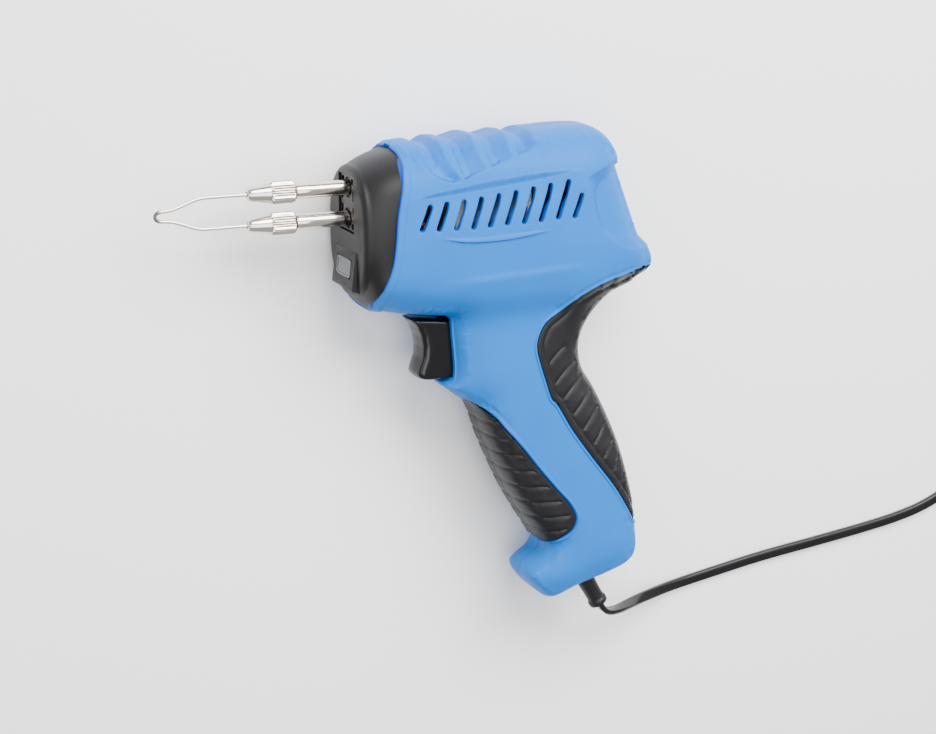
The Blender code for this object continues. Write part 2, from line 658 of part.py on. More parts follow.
def make_housing():
    cavity = make_cavity()
    vents = make_vents()
    ahead = nose_plane(GAP)
    slot_half = TRIGGER_HALF_WIDTH + GAP
    trigger_slot = link_cutter(box("trigger_slot", (34, -82.4 - GAP, -slot_half),
                                   (54, SLOT_TOP, slot_half)))
    relief_hole = link_cutter(rod("relief_hole", 4.4, at_relief(-14), at_relief(14)))
    beds = {"left": [], "right": []}
    for word, side in SIDES.items():
        for place, edge, outside in (("rear", REAR_GRIP_EDGE, REAR_GRIP_OUTSIDE),
                                     ("front", FRONT_GRIP_EDGE, FRONT_GRIP_OUTSIDE)):
            bed = grip_prism(f"{place}_bed_{word}", edge, outside, 0, side)
            cut(bed, link_cutter(handle_shape(f"{place}_bed_floor_{word}", GRIP_DEPTH + GAP)))
            beds[word].append(bed)
    for word, side in SIDES.items():
        housing = body_shape(f"housing_{word}", 0.0)
        join(housing, link_cutter(handle_shape(f"handle_{word}", 0.0)))
        cut(housing, half_space(f"beyond_seam_{word}", side), cavity, ahead, vents, trigger_slot,
            relief_hole, *beds[word])
        for i, (x, y) in enumerate(SCREW_PLACES, 1):
            if side > 0:
                hole = rod(f"pilot_{i}", SCREW_RADIUS + GAP, (x, y, -2),
                           (x, y, SCREW_REACH_LEFT + GAP), 12)
                cut(housing, link_cutter(hole))
            else:
                bore = rod(f"clearance_{i}", SCREW_RADIUS + GAP, (x, y, -SCREW_SEAT - 3), (x, y, 2), 12)
                head = rod(f"head_room_{i}", SCREW_HEAD_RADIUS + GAP, (x, y, -WIDE),
                           (x, y, -SCREW_SEAT), 12)
                cut(housing, link_cutter(bore), link_cutter(head))
        link_part(housing, BLUE)


def make_grips():
    for word, side in SIDES.items():
        for place, edge, outside in (("rear", REAR_GRIP_EDGE, REAR_GRIP_OUTSIDE),
                                     ("front", FRONT_GRIP_EDGE, FRONT_GRIP_OUTSIDE)):
            grip = handle_shape(f"{place}_grip_{word}", 0.0)
            boolean(grip, grip_prism(f"{place}_grip_area_{word}", edge, outside, -GAP, side),
                    "INTERSECT")
            cut(grip, link_cutter(handle_shape(f"{place}_grip_core_{word}", GRIP_DEPTH)),
                half_space(f"{place}_grip_seam_{word}", side))
            link_part(grip, RUBBER)


def make_screws():
    for i, (x, y) in enumerate(SCREW_PLACES, 1):
        seat = -SCREW_SEAT - GAP
        screw = turned(f"housing_screw_{i}", [
            (0, SCREW_REACH_LEFT), (SCREW_RADIUS - 0.6, SCREW_REACH_LEFT - 0.4),
            (SCREW_RADIUS, SCREW_REACH_LEFT - 2), (SCREW_RADIUS, seat), (SCREW_HEAD_RADIUS, seat),
            (SCREW_HEAD_RADIUS, seat - SCREW_HEAD_HEIGHT + 0.6),
            (SCREW_HEAD_RADIUS - 0.7, seat - SCREW_HEAD_HEIGHT), (0, seat - SCREW_HEAD_HEIGHT)],
            (x, y, 0), (0, 0, 1), 10)
        link_part(screw, STEEL)


# ---- trigger and switch ----
SWITCH_X = (66.0, 88.0)
SWITCH_Y = (-80.0, -62.0)
SWITCH_MID_Y = (SWITCH_Y[0] + SWITCH_Y[1]) / 2
PLUNGER_BORE = 4.6


def make_trigger():
    trigger = prism("trigger", TRIGGER_OUTLINE, -TRIGGER_HALF_WIDTH, TRIGGER_HALF_WIDTH)
    edge = trigger.modifiers.new("edge", "BEVEL")
    edge.width = 0.8 * MM
    edge.segments = 2
    edge.limit_method = "ANGLE"
    edge.angle_limit = math.radians(50)
    keeper = link_cutter(box("trigger_keeper", (52.4, -81.6, -TRIGGER_HALF_WIDTH - 2),
                             (TRIGGER_REAR_X - 0.4, -58.6, TRIGGER_HALF_WIDTH + 2)))
    join(trigger, keeper)
    return link_part(trigger, TRIGGER_BLACK)


def make_switch():
    switch = box("switch_body", (SWITCH_X[0], SWITCH_Y[0], -SWITCH_HALF_WIDTH),
                 (SWITCH_X[1], SWITCH_Y[1], SWITCH_HALF_WIDTH))
    depth = SWITCH_X[0] + 16
    bore = rod("plunger_bore", PLUNGER_BORE, (SWITCH_X[0] - 4, SWITCH_MID_Y, 0),
               (depth, SWITCH_MID_Y, 0))
    cut(switch, link_cutter(bore))
    link_part(switch, PHENOLIC)
    start = TRIGGER_REAR_X + GAP
    end = depth - TRIGGER_TRAVEL - 1.5
    plunger = turned("switch_plunger", [
        (0, end), (PLUNGER_RADIUS, end), (PLUNGER_RADIUS, start + 2.4), (PLUNGER_RADIUS + 1.4, start + 2.4),
        (PLUNGER_RADIUS + 1.4, start + 0.5), (PLUNGER_RADIUS + 0.9, start), (0, start)],
        (0, SWITCH_MID_Y, 0), (1, 0, 0), 16)
    link_part(plunger, NYLON)
    turns, wire, steps = 3, 0.4, 9
    coil = []
    for i in range(turns * steps + 1):
        angle = 2 * math.pi * i / steps
        radius = PLUNGER_RADIUS + GAP + wire + 0.3
        coil.append((start + 2.4 + GAP + wire + i * 9.0 / (turns * steps),
                     SWITCH_MID_Y + radius * math.cos(angle), radius * math.sin(angle)))
    link_part(tube("return_spring", coil, wire), STEEL)


# ---- foot, cord entry and wiring ----
CLAMP_AT = -24.0              # along the relief's axis, inside the foot
CLAMP_HALF = 9.6
CLAMP_DIRECTION = Vector((math.cos(RELIEF_LEAN), math.sin(RELIEF_LEAN), 0))
LEAD_RADIUS = 1.7
RELIEF_END = RELIEF_FLANGE + 2.4


def clamp_place(shift):
    return at_relief(CLAMP_AT) + CLAMP_DIRECTION * shift


def make_relief():
    profile = [(0, RELIEF_LENGTH), (4.2, RELIEF_LENGTH), (4.6, RELIEF_LENGTH - 0.5),
               (4.6, RELIEF_LENGTH - 2.2), (4.1, RELIEF_LENGTH - 2.8), (3.95, 6), (4.1, -RELIEF_FLANGE),
               (6.2, -RELIEF_FLANGE - 0.2), (6.2, -RELIEF_FLANGE - 2), (4.0, -RELIEF_END),
               (0, -RELIEF_END)]
    return link_part(turned("strain_relief", profile, (*RELIEF_ROOT, 0), RELIEF_AXIS, 20), RUBBER)


def make_clamp():
    turn = Matrix.Rotation(RELIEF_LEAN, 4, "Z")
    place = at_relief(CLAMP_AT)
    shape = bmesh.new()
    bmesh.ops.create_cube(shape, size=1.0)
    bar_low, bar_high = LEAD_RADIUS + GAP, LEAD_RADIUS + GAP + 3
    bmesh.ops.transform(shape, verts=shape.verts, matrix=Matrix.Translation(
        (place.x, place.y, (bar_low + bar_high) / 2)) @ turn @ Matrix.Diagonal(
        (2 * CLAMP_HALF, 6, bar_high - bar_low, 1)))
    bar = mesh_object("cord_clamp", shape)
    for i, shift in enumerate((-6.4, 6.4), 1):
        x, y, _ = clamp_place(shift)
        cut(bar, link_cutter(rod(f"clamp_hole_{i}", SCREW_RADIUS + GAP, (x, y, 0), (x, y, 9), 12)))
        screw = turned(f"clamp_screw_{i}", [
            (0, bar_high + GAP + 1.8), (2.0, bar_high + GAP + 1.8), (2.6, bar_high + GAP + 1.2),
            (2.6, bar_high + GAP), (SCREW_RADIUS, bar_high + GAP), (SCREW_RADIUS, -7), (0, -8)],
            (x, y, 0), (0, 0, 1), 12)
        link_part(screw, STEEL)
    link_part(bar, NYLON)
    base_turned = bmesh.new()
    bmesh.ops.create_cube(base_turned, size=1.0)
    base_high = -LEAD_RADIUS - GAP
    base_low = -10.0
    bmesh.ops.transform(base_turned, verts=base_turned.verts, matrix=Matrix.Translation(
        (place.x, place.y, (base_high + base_low) / 2)) @ turn @ Matrix.Diagonal(
        (2 * CLAMP_HALF, 6, base_high - base_low, 1)))
    base = mesh_object("clamp_base", base_turned)
    for i, shift in enumerate((-6.4, 6.4), 1):
        x, y, _ = clamp_place(shift)
        cut(base, link_cutter(rod(f"base_hole_{i}", SCREW_RADIUS + GAP, (x, y, -8.4), (x, y, 2), 12)))
    link_part(base, NYLON)


def make_wiring(flange):
    start = at_relief(-RELIEF_END - GAP)
    through = at_relief(CLAMP_AT)
    split = at_relief(CLAMP_AT - 12)
    lead = smooth_path([start, through, split], 6)
    link_part(tube("inner_lead", lead, LEAD_RADIUS), CORD_BLACK)
    radius = 0.9
    switch_low = (SWITCH_X[0] + 8, SWITCH_Y[0] - radius - GAP, 3)
    above = split + Vector((-0.6, 1.4, 0))
    live = [above + Vector((-1.4, 0, 0)), (97, -140, 2), (92, -126, 4), (90, -112, 4), (88.4, -100, 3),
            (84, -90, 3), (76, -85.6, 3), switch_low]
    link_part(tube("live_wire", smooth_path(live, 6), radius), WIRE_BROWN)
    edge_x = CORE_MID_X + flange[0] + GAP + radius
    neutral = [above + Vector((1.6, 0, 0)), (103, -142, 0), (101, -124, 0), (98, -106, 0), (95, -88, 0),
               (94, -72, 3), (93, -56, 6), (92, -40, 9), (edge_x + 1, -22, 9)]
    link_part(tube("neutral_wire", smooth_path(neutral, 6), radius), WIRE_BLUE)
    feed = [(SWITCH_X[1] - 4, SWITCH_Y[1] + radius + GAP, -3), (86, -54, -5), (90, -42, -8),
            (edge_x + 1.4, -28, -9), (edge_x + 0.6, -16, -9)]
    link_part(tube("switched_wire", smooth_path(feed, 6), radius), WIRE_BROWN)
    lamp = [(11.6, -27, 6), (20, -26, 9), (30, -24, 12), (40, -20, 11),
            (CORE_MID_X - flange[0] - GAP - 1.2, -14, 8)]
    link_part(tube("lamp_wire", smooth_path(lamp, 6), 0.7), WIRE_BLUE)
    fuse_x = CORE_MID_X - flange[0] - GAP - 2.2
    fuse = rod("thermal_fuse", 2.0, (fuse_x, CORE_MID_Y - 6, -8), (fuse_x, CORE_MID_Y + 6, -8), 14)
    link_part(round_shading(fuse), STEEL)


# ---- cord, coil and plug ----
FLOOR = -BODY_HALF_WIDTH


def make_cord():
    radius = CORD_THICKNESS / 2
    path = smooth_path(CORD_ROUTE, 2.0 * CORD_THICKNESS)
    link_part(tube("power_cord", path, radius), CORD_BLACK)
    end_path = smooth_path(PLUG_ROUTE, 2.0 * CORD_THICKNESS)
    link_part(tube("cord_plug_end", end_path, radius), CORD_BLACK)
    inner = COIL_MID_RADIUS - COIL_COLUMNS * CORD_WIDTH / 2
    outer = COIL_MID_RADIUS + COIL_COLUMNS * CORD_WIDTH / 2
    height = COIL_LAYERS * CORD_THICKNESS
    soft = 1.2
    coil = turned("cord_coil", [
        (outer - soft, height), (outer, height - soft), (outer, soft), (outer - soft, 0),
        (inner + soft, 0), (inner, soft), (inner, height - soft), (inner + soft, height)],
        (*COIL_CENTRE, FLOOR), (0, 0, 1), 32)
    link_part(coil, CORD_BLACK)


PLUG_LENGTH = 33.0
PLUG_HALF = (13.0, 6.9)
PIN_SPACING = 18.6
PIN_RADIUS = 2.0
PIN_LENGTH = 19.0


def make_plug():
    x, y = PLUG_CENTRE
    middle = FLOOR + PLUG_HALF[1]
    half = PLUG_HALF[0]
    outline = [(x + PLUG_LENGTH / 2, y - half), (x + PLUG_LENGTH / 2, y + half),
               (x - 4, y + half), (x - PLUG_LENGTH / 2, y + 5), (x - PLUG_LENGTH / 2, y - 5),
               (x - 4, y - half)]
    body = prism("plug_body", outline, FLOOR, middle + PLUG_HALF[1])
    edge = body.modifiers.new("edge", "BEVEL")
    edge.width = 1.6 * MM
    edge.segments = 2
    edge.limit_method = "ANGLE"
    edge.angle_limit = math.radians(50)
    link_part(body, CORD_BLACK)
    for i, side in enumerate((1, -1), 1):
        start = x + PLUG_LENGTH / 2 + GAP
        pin = turned(f"plug_pin_{i}", [
            (0, PIN_LENGTH), (PIN_RADIUS - 0.9, PIN_LENGTH), (PIN_RADIUS, PIN_LENGTH - 1.1),
            (PIN_RADIUS, 0), (0, 0)], (start, y + side * PIN_SPACING / 2, middle), (1, 0, 0), 14)
        link_part(pin, BRASS)


make_nose()
make_insulator()
make_lamp()
for word, side in (("upper", 1), ("lower", -1)):
    make_rod(word, side)
    make_collet(word, side)
    make_nut(word, side)
make_tip()
make_core()
winding_flange = make_windings()
make_turn(winding_flange)
make_housing()
make_grips()
make_screws()
make_trigger()
make_switch()
make_relief()
make_clamp()
make_wiring(winding_flange)
make_cord()
make_plug()

rear = max(x for x, y in BODY_OUTLINE + HANDLE_OUTLINE)
top = max(y for x, y in BODY_OUTLINE)
bottom = at_relief(RELIEF_LENGTH).y - 2.3
gun.location = Vector((-(rear + TIP_X) / 2, -(top + bottom) / 2, BODY_HALF_WIDTH)) * MM
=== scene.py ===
import bmesh, bpy, json, math
import numpy as np
from mathutils import Matrix, Vector
from mathutils.geometry import delaunay_2d_cdt


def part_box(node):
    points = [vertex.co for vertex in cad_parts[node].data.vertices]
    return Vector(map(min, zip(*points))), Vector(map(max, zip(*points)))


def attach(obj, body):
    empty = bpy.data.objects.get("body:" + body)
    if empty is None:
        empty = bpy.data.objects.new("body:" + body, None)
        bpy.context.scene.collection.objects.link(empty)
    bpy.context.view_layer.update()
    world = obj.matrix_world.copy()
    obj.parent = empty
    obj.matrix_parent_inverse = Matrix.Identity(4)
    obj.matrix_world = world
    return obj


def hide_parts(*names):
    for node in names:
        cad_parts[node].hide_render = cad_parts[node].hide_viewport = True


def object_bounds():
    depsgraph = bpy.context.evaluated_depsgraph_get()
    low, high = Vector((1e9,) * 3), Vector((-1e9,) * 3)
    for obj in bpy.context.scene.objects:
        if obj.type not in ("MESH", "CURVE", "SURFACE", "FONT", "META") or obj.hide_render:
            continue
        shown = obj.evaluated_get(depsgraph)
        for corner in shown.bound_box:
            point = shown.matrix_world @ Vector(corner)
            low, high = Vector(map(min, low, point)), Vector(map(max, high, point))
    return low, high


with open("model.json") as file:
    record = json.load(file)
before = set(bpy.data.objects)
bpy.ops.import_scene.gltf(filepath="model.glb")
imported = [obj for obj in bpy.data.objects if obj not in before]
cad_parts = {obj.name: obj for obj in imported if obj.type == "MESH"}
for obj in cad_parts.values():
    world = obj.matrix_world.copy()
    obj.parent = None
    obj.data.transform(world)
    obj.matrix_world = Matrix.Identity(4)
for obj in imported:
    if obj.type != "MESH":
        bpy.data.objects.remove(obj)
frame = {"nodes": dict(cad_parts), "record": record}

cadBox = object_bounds()
rodLow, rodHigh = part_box("upper_rod")
rodReach, rodSpread = 0.033, 0.0068
# millimetres from the nose face, the middle of the rods and the seam
origin = np.array([rodLow[0] + rodReach, (rodLow[1] + rodHigh[1]) / 2 - rodSpread,
                   (rodLow[2] + rodHigh[2]) / 2])


def place(points):
    return np.asarray(points, float).reshape(-1, 3) * 0.001 + origin


# finishes
class Wire:
    def __init__(self, finish, socket):
        self.finish, self.socket = finish, socket

    def maths(self, operation, *values):
        return self.finish.add("ShaderNodeMath", {"operation": operation},
                               dict(enumerate(values)))

    def __add__(self, other):
        return self.maths("ADD", self, other)

    def __mul__(self, other):
        return self.maths("MULTIPLY", self, other)

    __radd__ = __add__
    __rmul__ = __mul__


class Finish:
    def __init__(self, name, **fixed):
        self.material = bpy.data.materials.new(name)
        self.material.use_nodes = True
        self.nodes, self.links = self.material.node_tree.nodes, self.material.node_tree.links
        self.shader = self.nodes["Principled BSDF"]
        for socket, value in fixed.items():
            self.shader.inputs[socket.replace("_", " ")].default_value = value

    def add(self, kind, settings=None, inputs=None, output=0):
        node = self.nodes.new(kind)
        for key, value in (settings or {}).items():
            if key == "stops":
                ramp = node.color_ramp
                for i, (at, colour) in enumerate(value):
                    stop = ramp.elements[i] if i < 2 else ramp.elements.new(at)
                    stop.position, stop.color = at, colour
            else:
                setattr(node, key, value)
        for key, value in (inputs or {}).items():
            self.feed(node.inputs[key], value)
        return Wire(self, node.outputs[output])

    def feed(self, socket, value):
        if isinstance(value, Wire):
            self.links.new(value.socket, socket)
        else:
            socket.default_value = value

    def give(self, **values):
        for socket, value in values.items():
            self.feed(self.shader.inputs[socket.replace("_", " ")], value)

    def mix(self, factor, a, b):
        return self.add("ShaderNodeMix", {"data_type": "RGBA"}, {0: factor, 6: a, 7: b}, 2)

    def ramp(self, factor, low, high):
        return self.add("ShaderNodeMapRange", None, {0: factor, 1: low, 2: high, 3: 0.0, 4: 1.0})


def rgba(colour, gain=1.0):
    return (*(min(1.0, c * gain) for c in colour), 1.0)


# grain: bumps per metre, height in metres; stretch: how far the grain is drawn out
looks = {
    "blue_housing": dict(colour=(0.0, 0.142, 0.51), rough=0.46, grain=2200, deep=4.5e-5, vary=0.06,
                         shine=0.14,
                         # the darker colour below is painted shade, mixed into the housing's
                         # creases, gaps, rib risers, slot edges, screw pits and inner side
                         shadeAndBurn=(0.0015, 0.022, 0.30)),
    "black_nose": dict(colour=(0.005, 0.005, 0.0058), rough=0.46, grain=2200, deep=2e-5, vary=0.16,
                       shine=0.26),
    "black_rubber": dict(colour=(0.0058, 0.0058, 0.0072), rough=0.44, shine=0.3, grain=3000,
                         deep=1.4e-5, vary=0.2),
    "black_trigger": dict(colour=(0.0022, 0.0022, 0.003), shine=0.4, rough=0.2, grain=1500,
                          deep=3e-6, vary=0.15),
    "black_cord": dict(colour=(0.003, 0.003, 0.004), shine=0.45, rough=0.22, grain=900, deep=5e-6,
                       vary=0.2),
    "chrome": dict(colour=(0.70, 0.655, 0.60), rough=0.14, grain=1400, deep=1.2e-6, vary=0.07,
                   metal=1.0, stretch=(0.05, 1, 1)),
    "tinned_wire": dict(colour=(0.84, 0.77, 0.72), rough=0.26, grain=2400, deep=6e-6, vary=0.1,
                        metal=1.0, stretch=(0.3, 1, 1), shadeAndBurn=(0.03, 0.027, 0.026)),
    "copper": dict(colour=(0.78, 0.34, 0.18), rough=0.3, grain=2000, deep=4e-6, vary=0.2,
                   metal=1.0),
    "brass": dict(colour=(0.78, 0.56, 0.25), rough=0.27, grain=1600, deep=3e-6, vary=0.12,
                  metal=1.0),
    "zinc_steel": dict(colour=(0.52, 0.53, 0.55), rough=0.33, grain=1500, deep=4e-6, vary=0.2,
                       metal=1.0),
    "lamination": dict(colour=(0.20, 0.20, 0.215), rough=0.45, grain=1800, deep=2e-5, vary=0.3,
                       metal=1.0, stretch=(0.1, 0.1, 1)),
    "nylon": dict(colour=(0.66, 0.63, 0.55), rough=0.44, grain=1200, deep=6e-6, vary=0.06),
    "winding_tape": dict(colour=(0.60, 0.43, 0.08), rough=0.36, grain=700, deep=2e-5, vary=0.12,
                         stretch=(1, 0.2, 1)),
    "board": dict(colour=(0.02, 0.13, 0.05), rough=0.38, grain=1500, deep=4e-6, vary=0.2),
    "led_resin": dict(colour=(0.78, 0.74, 0.62), rough=0.16, grain=900, deep=2e-6, vary=0.05),
    "phenolic": dict(colour=(0.008, 0.0055, 0.0045), rough=0.5, grain=1300, deep=2e-5, vary=0.35),
    "brown_wire": dict(colour=(0.13, 0.05, 0.022), rough=0.36, grain=1500, deep=4e-6, vary=0.15),
    "blue_wire": dict(colour=(0.02, 0.09, 0.36), rough=0.36, grain=1500, deep=4e-6, vary=0.15),
    "lens": dict(colour=(0.042, 0.046, 0.06), rough=0.2, grain=800, deep=3e-6, vary=0.25,
                 clear=0.06, shine=0.4),
}


def makeFinish(name, look):
    colour, rough, vary = look["colour"], look["rough"], look["vary"]
    finish = Finish(name, Metallic=look.get("metal", 0.0),
                    Transmission_Weight=look.get("clear", 0.0),
                    Specular_IOR_Level=look.get("shine", 0.5))
    where = finish.add("ShaderNodeTexCoord", output=3)
    if "stretch" in look:
        where = finish.add("ShaderNodeVectorMath", {"operation": "MULTIPLY"},
                           {0: where, 1: look["stretch"]})
    cloud = finish.add("ShaderNodeTexNoise", None, {"Vector": where, "Scale": 45.0, "Detail": 4.0})
    grain = finish.add("ShaderNodeTexNoise", None,
                       {"Vector": where, "Scale": look["grain"], "Detail": 3.0})
    tone = finish.ramp(cloud, 0.3, 0.7) * 0.6 + grain * 0.4
    base = finish.mix(tone, rgba(colour, 1 - vary), rgba(colour, 1 + vary))
    # a per-point share mixes in a darker colour: painted shade on the housing, the burnt end on
    # the soldering tip
    if "shadeAndBurn" in look:
        shadeAndBurn = finish.add("ShaderNodeAttribute", {"attribute_name": "shadeAndBurn"}, output=2)
        base = finish.mix(shadeAndBurn, base, rgba(look["shadeAndBurn"]))
    finish.give(Base_Color=base, Roughness=cloud * 0.12 + (rough - 0.06),
                Normal=finish.add("ShaderNodeBump", None,
                                  {"Strength": 0.9, "Distance": look["deep"] * 10,
                                                         "Height": grain * 0.1}))
    return finish.material


finishes = {name: makeFinish(name, look) for name, look in looks.items()}
print("finishes", len(finishes))


# lines and meshes
def smoothLine(points, step, closed=True):
    p = np.array(points, float)
    q = (np.concatenate([p[-1:], p, p[:2]]) if closed
         else np.concatenate([2 * p[:1] - p[1:2], p, 2 * p[-1:] - p[-2:-1]]))
    out = []
    for a, b, c, d in zip(q, q[1:], q[2:], q[3:]):
        knots = np.concatenate([[0], np.cumsum([max(np.linalg.norm(v - u), 1e-9) ** 0.5
                                                for u, v in ((a, b), (b, c), (c, d))])])
        t = np.linspace(knots[1], knots[2], 24, endpoint=False)[:, None]
        low = [(knots[i + 1] - t) / (knots[i + 1] - knots[i]) * u
               + (t - knots[i]) / (knots[i + 1] - knots[i]) * v
               for i, (u, v) in enumerate(((a, b), (b, c), (c, d)))]
        mid = [(knots[i + 2] - t) / (knots[i + 2] - knots[i]) * low[i]
               + (t - knots[i]) / (knots[i + 2] - knots[i]) * low[i + 1] for i in (0, 1)]
        out.append((knots[2] - t) / (knots[2] - knots[1]) * mid[0]
                   + (t - knots[1]) / (knots[2] - knots[1]) * mid[1])
    out = np.concatenate(out + [q[-2:-1]])
    if closed:
        out = np.concatenate([out[:-1], out[:1]])
    run = along(out)
    at = np.linspace(0, run[-1], max(2, int(round(run[-1] / step))) + 1)
    line = np.stack([np.interp(at, run, out[:, i]) for i in range(out.shape[1])], 1)
    return line[:-1] if closed else line


def lineDistance(points, line, closed=True):
    a, b = (line, np.roll(line, -1, 0)) if closed else (line[:-1], line[1:])
    ab = b - a
    size = (ab ** 2).sum(1) + 1e-12
    best = np.empty(len(points))
    for i in range(0, len(points), 4000):
        ap = points[i:i + 4000, None] - a[None]
        t = np.clip((ap * ab).sum(2) / size, 0, 1)
        best[i:i + 4000] = np.sqrt((((ap - t[..., None] * ab) ** 2).sum(2)).min(1))
    return best


def insideLoop(points, loop):
    x, y = points[:, 0], points[:, 1]
    inside = np.zeros(len(points), bool)
    for (x0, y0), (x1, y1) in zip(loop, np.roll(loop, -1, 0)):
        if y0 != y1:
            inside ^= ((y0 > y) != (y1 > y)) & (x < (x1 - x0) * (y - y0) / (y1 - y0) + x0)
    return inside


def signedDistance(points, loop):
    d = lineDistance(points, loop)
    return np.where(insideLoop(points, loop), d, -d)


def ease(t):
    t = np.clip(t, 0, 1)
    return t * t * (3 - 2 * t)


def along(line):
    return np.concatenate([[0], np.cumsum(np.linalg.norm(np.diff(line, axis=0), axis=1))])


def unit(vectors):
    return vectors / np.linalg.norm(vectors, axis=1)[:, None]


def circle(count):
    return np.linspace(0, 2 * math.pi, count, endpoint=False)


def newObject(name, data):
    piece = bpy.data.objects.new(name, data)
    bpy.context.scene.collection.objects.link(piece)
    return piece


def faceOutward(mesh, merge=None, bevel=None):
    work = bmesh.new()
    work.from_mesh(mesh)
    if merge:
        bmesh.ops.remove_doubles(work, verts=work.verts, dist=merge)
    bmesh.ops.recalc_face_normals(work, faces=work.faces)
    if bevel:
        bmesh.ops.bevel(work, geom=list(work.edges), offset=bevel / 1000, segments=3,
                        profile=0.5, affect="EDGES")
    work.to_mesh(mesh)
    work.free()


def addPiece(name, points, faces, body, slot, stands=(), sharp=None, shadeAndBurn=None):
    mesh = bpy.data.meshes.new(name)
    mesh.from_pydata(place(points).tolist(), [], [tuple(int(i) for i in f) for f in faces])
    mesh.validate()
    # per-point share of the darker colour: painted shade on the housing halves, the burnt end on
    # the soldering tip
    if shadeAndBurn is not None:
        share = mesh.attributes.new("shadeAndBurn", "FLOAT", "POINT")
        share.data.foreach_set("value", np.asarray(shadeAndBurn, float))
    return finishPiece(newObject(name, mesh), body, slot, stands, sharp)


def finishPiece(piece, body, slot, stands=(), sharp=None):
    piece.data.materials.clear()
    piece.data.materials.append(finishes[slot])
    piece.data.shade_smooth()
    if sharp:
        piece.data.set_sharp_from_angle(angle=math.radians(sharp))
    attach(piece, body)
    if stands:
        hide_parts(*stands)
    return piece


def ringFaces(rings, size, capStart=True, capEnd=True):
    faces = []
    for i in range(rings - 1):
        for j in range(size):
            a, b = i * size + j, i * size + (j + 1) % size
            faces.append((a, b, b + size, a + size))
    if capStart:
        faces.append(tuple(range(size))[::-1])
    if capEnd:
        faces.append(tuple(range((rings - 1) * size, rings * size)))
    return faces


# camera
shot = {"turn": 23.2, "lean": 14.5, "distance": 1.1, "target": (58.0, -80.1, 0.0),
        "lens": 93.08, "sensor": 36.0}
turn, lean = math.radians(shot["turn"]), math.radians(shot["lean"])
back = Vector((-math.sin(turn) * math.cos(lean), math.sin(lean), math.cos(turn) * math.cos(lean)))
right = Vector((math.cos(turn), 0, math.sin(turn)))
above = back.cross(right)
cameraData = bpy.data.cameras.new("camera")
cameraData.lens, cameraData.sensor_width = shot["lens"], shot["sensor"]
cameraData.clip_start, cameraData.clip_end = 0.05, 20
camera = newObject("camera", cameraData)
camera.matrix_world = (Matrix.Translation(Vector(place(shot["target"])[0]) + back
                                          * shot["distance"])
                       @ Matrix((right, above, back)).transposed().to_4x4())
bpy.context.scene.camera = camera

# cord
cordMake = {
    "width": 5.4, "core": 1.68, "apart": 2.04, "floor": -26.3, "layer": 3.4,
    "notch": 0.62, "waist": 0.62, "arcPoints": 9, "step": 1.9,  # the groove between the two cores
    "flatFrom": 6, "flatOver": 58,  # where it turns from upright to flat
    "inside": (124.3, -200.22, 0), "route": [(126.2, -203.51, 0), (127.4, -205.55, -0.05),
                                             (129.5, -207.7, -0.9),
              (132.7, -209.3, -2.3), (136.5, -210.1, -4.2), (140.8, -210.4, -6.5),
              (146.4, -210.5, -9.8), (153, -210.6, -13.7), (160.4, -210.7, -17.7),
              (168, -210.6, -21.2), (176, -210.2, -24), (185, -209.4, -25.8),
              (195, -207.9, -26.3), (208, -205.7, -26.3), (223, -203.2, -26.3),
              (239, -201, -26.3), (256, -199, -26.3), (274, -196.8, -26.3), (292, -194.4, -26.3),
              (309, -191.6, -26.3), (324, -187.8, -26.3), (337, -182.2, -26.3),
              (346.4, -175.2, -26.3), (351, -169, -26.3), (352.9, -163.6, -26.3)],
    "coil": (388.0, -176.0), "outer": 31.7, "inner": 26.3, "start": 160.5, "entry": 37.2,
    "toPlug": [(371, -142.3, -24.0), (377.4, -136.6, -25.0), (384, -131.7, -23.6),
               (391, -128.5, -21.8), (398, -127.5, -21.1), (401, -127.5, -21.1)],
}


def coilPoint(turned):
    m = cordMake
    radius, level = m["outer"], 0.0
    radius += (m["entry"] - m["outer"]) * (1 - ease(turned / 62))
    moves = [("r", -1), ("z", 1), ("r", 1), ("z", 1), ("r", -1), ("z", 1), ("r", 1)]
    for i, (kind, way) in enumerate(moves, 1):
        done = ease((turned - (360 - 35) * i) / 75)
        if kind == "r":
            radius += way * (m["outer"] - m["inner"]) * done
        else:
            level += way * m["layer"] * done
    radius += 5.6 * ease((turned - 2600) / 80)
    level *= 1 - ease((turned - 2640) / 140)
    level += 3.4 * ease((turned - 2800) / 80)
    angle = math.radians(m["start"] - turned)
    return (m["coil"][0] + radius * math.cos(angle), m["coil"][1] + radius * math.sin(angle),
            m["floor"] + level)


def makeCordPath():
    m = cordMake
    wound = [coilPoint(t) for t in np.arange(12, 2906, 6)]
    return smoothLine([m["inside"]] + m["route"] + wound + m["toPlug"], m["step"], closed=False)


def makeCord():
    m = cordMake
    path = makeCordPath()
    section = []
    for side in (1, -1):
        for angle in np.linspace(-math.pi / 2 + m["notch"], math.pi / 2 - m["notch"],
                                 m["arcPoints"]):
            section.append((side * (m["apart"] / 2 + m["core"] * math.cos(angle)),
                            side * m["core"] * math.sin(angle)))
    section = np.array(section)
    waist = np.array([(0, m["core"] * m["waist"]), (0, -m["core"] * m["waist"])])
    section = np.concatenate([section[:m["arcPoints"]], waist[:1], section[m["arcPoints"]:],
                              waist[1:]])
    run = along(path)
    points = []
    for p, t, s in zip(path, unit(np.gradient(path, axis=0)), run):
        side = np.cross(t, (0, 0, 1.0))
        side /= np.linalg.norm(side)
        up = np.cross(side, t)
        roll = math.pi / 2 * (1 - ease((s - m["flatFrom"]) / m["flatOver"]))
        wide, thin = (math.cos(roll) * side + math.sin(roll) * up,
                      math.cos(roll) * up - math.sin(roll) * side)
        points += [p + a * wide + b * thin for a, b in section]
    return path, run[-1], points, ringFaces(len(path), len(section))


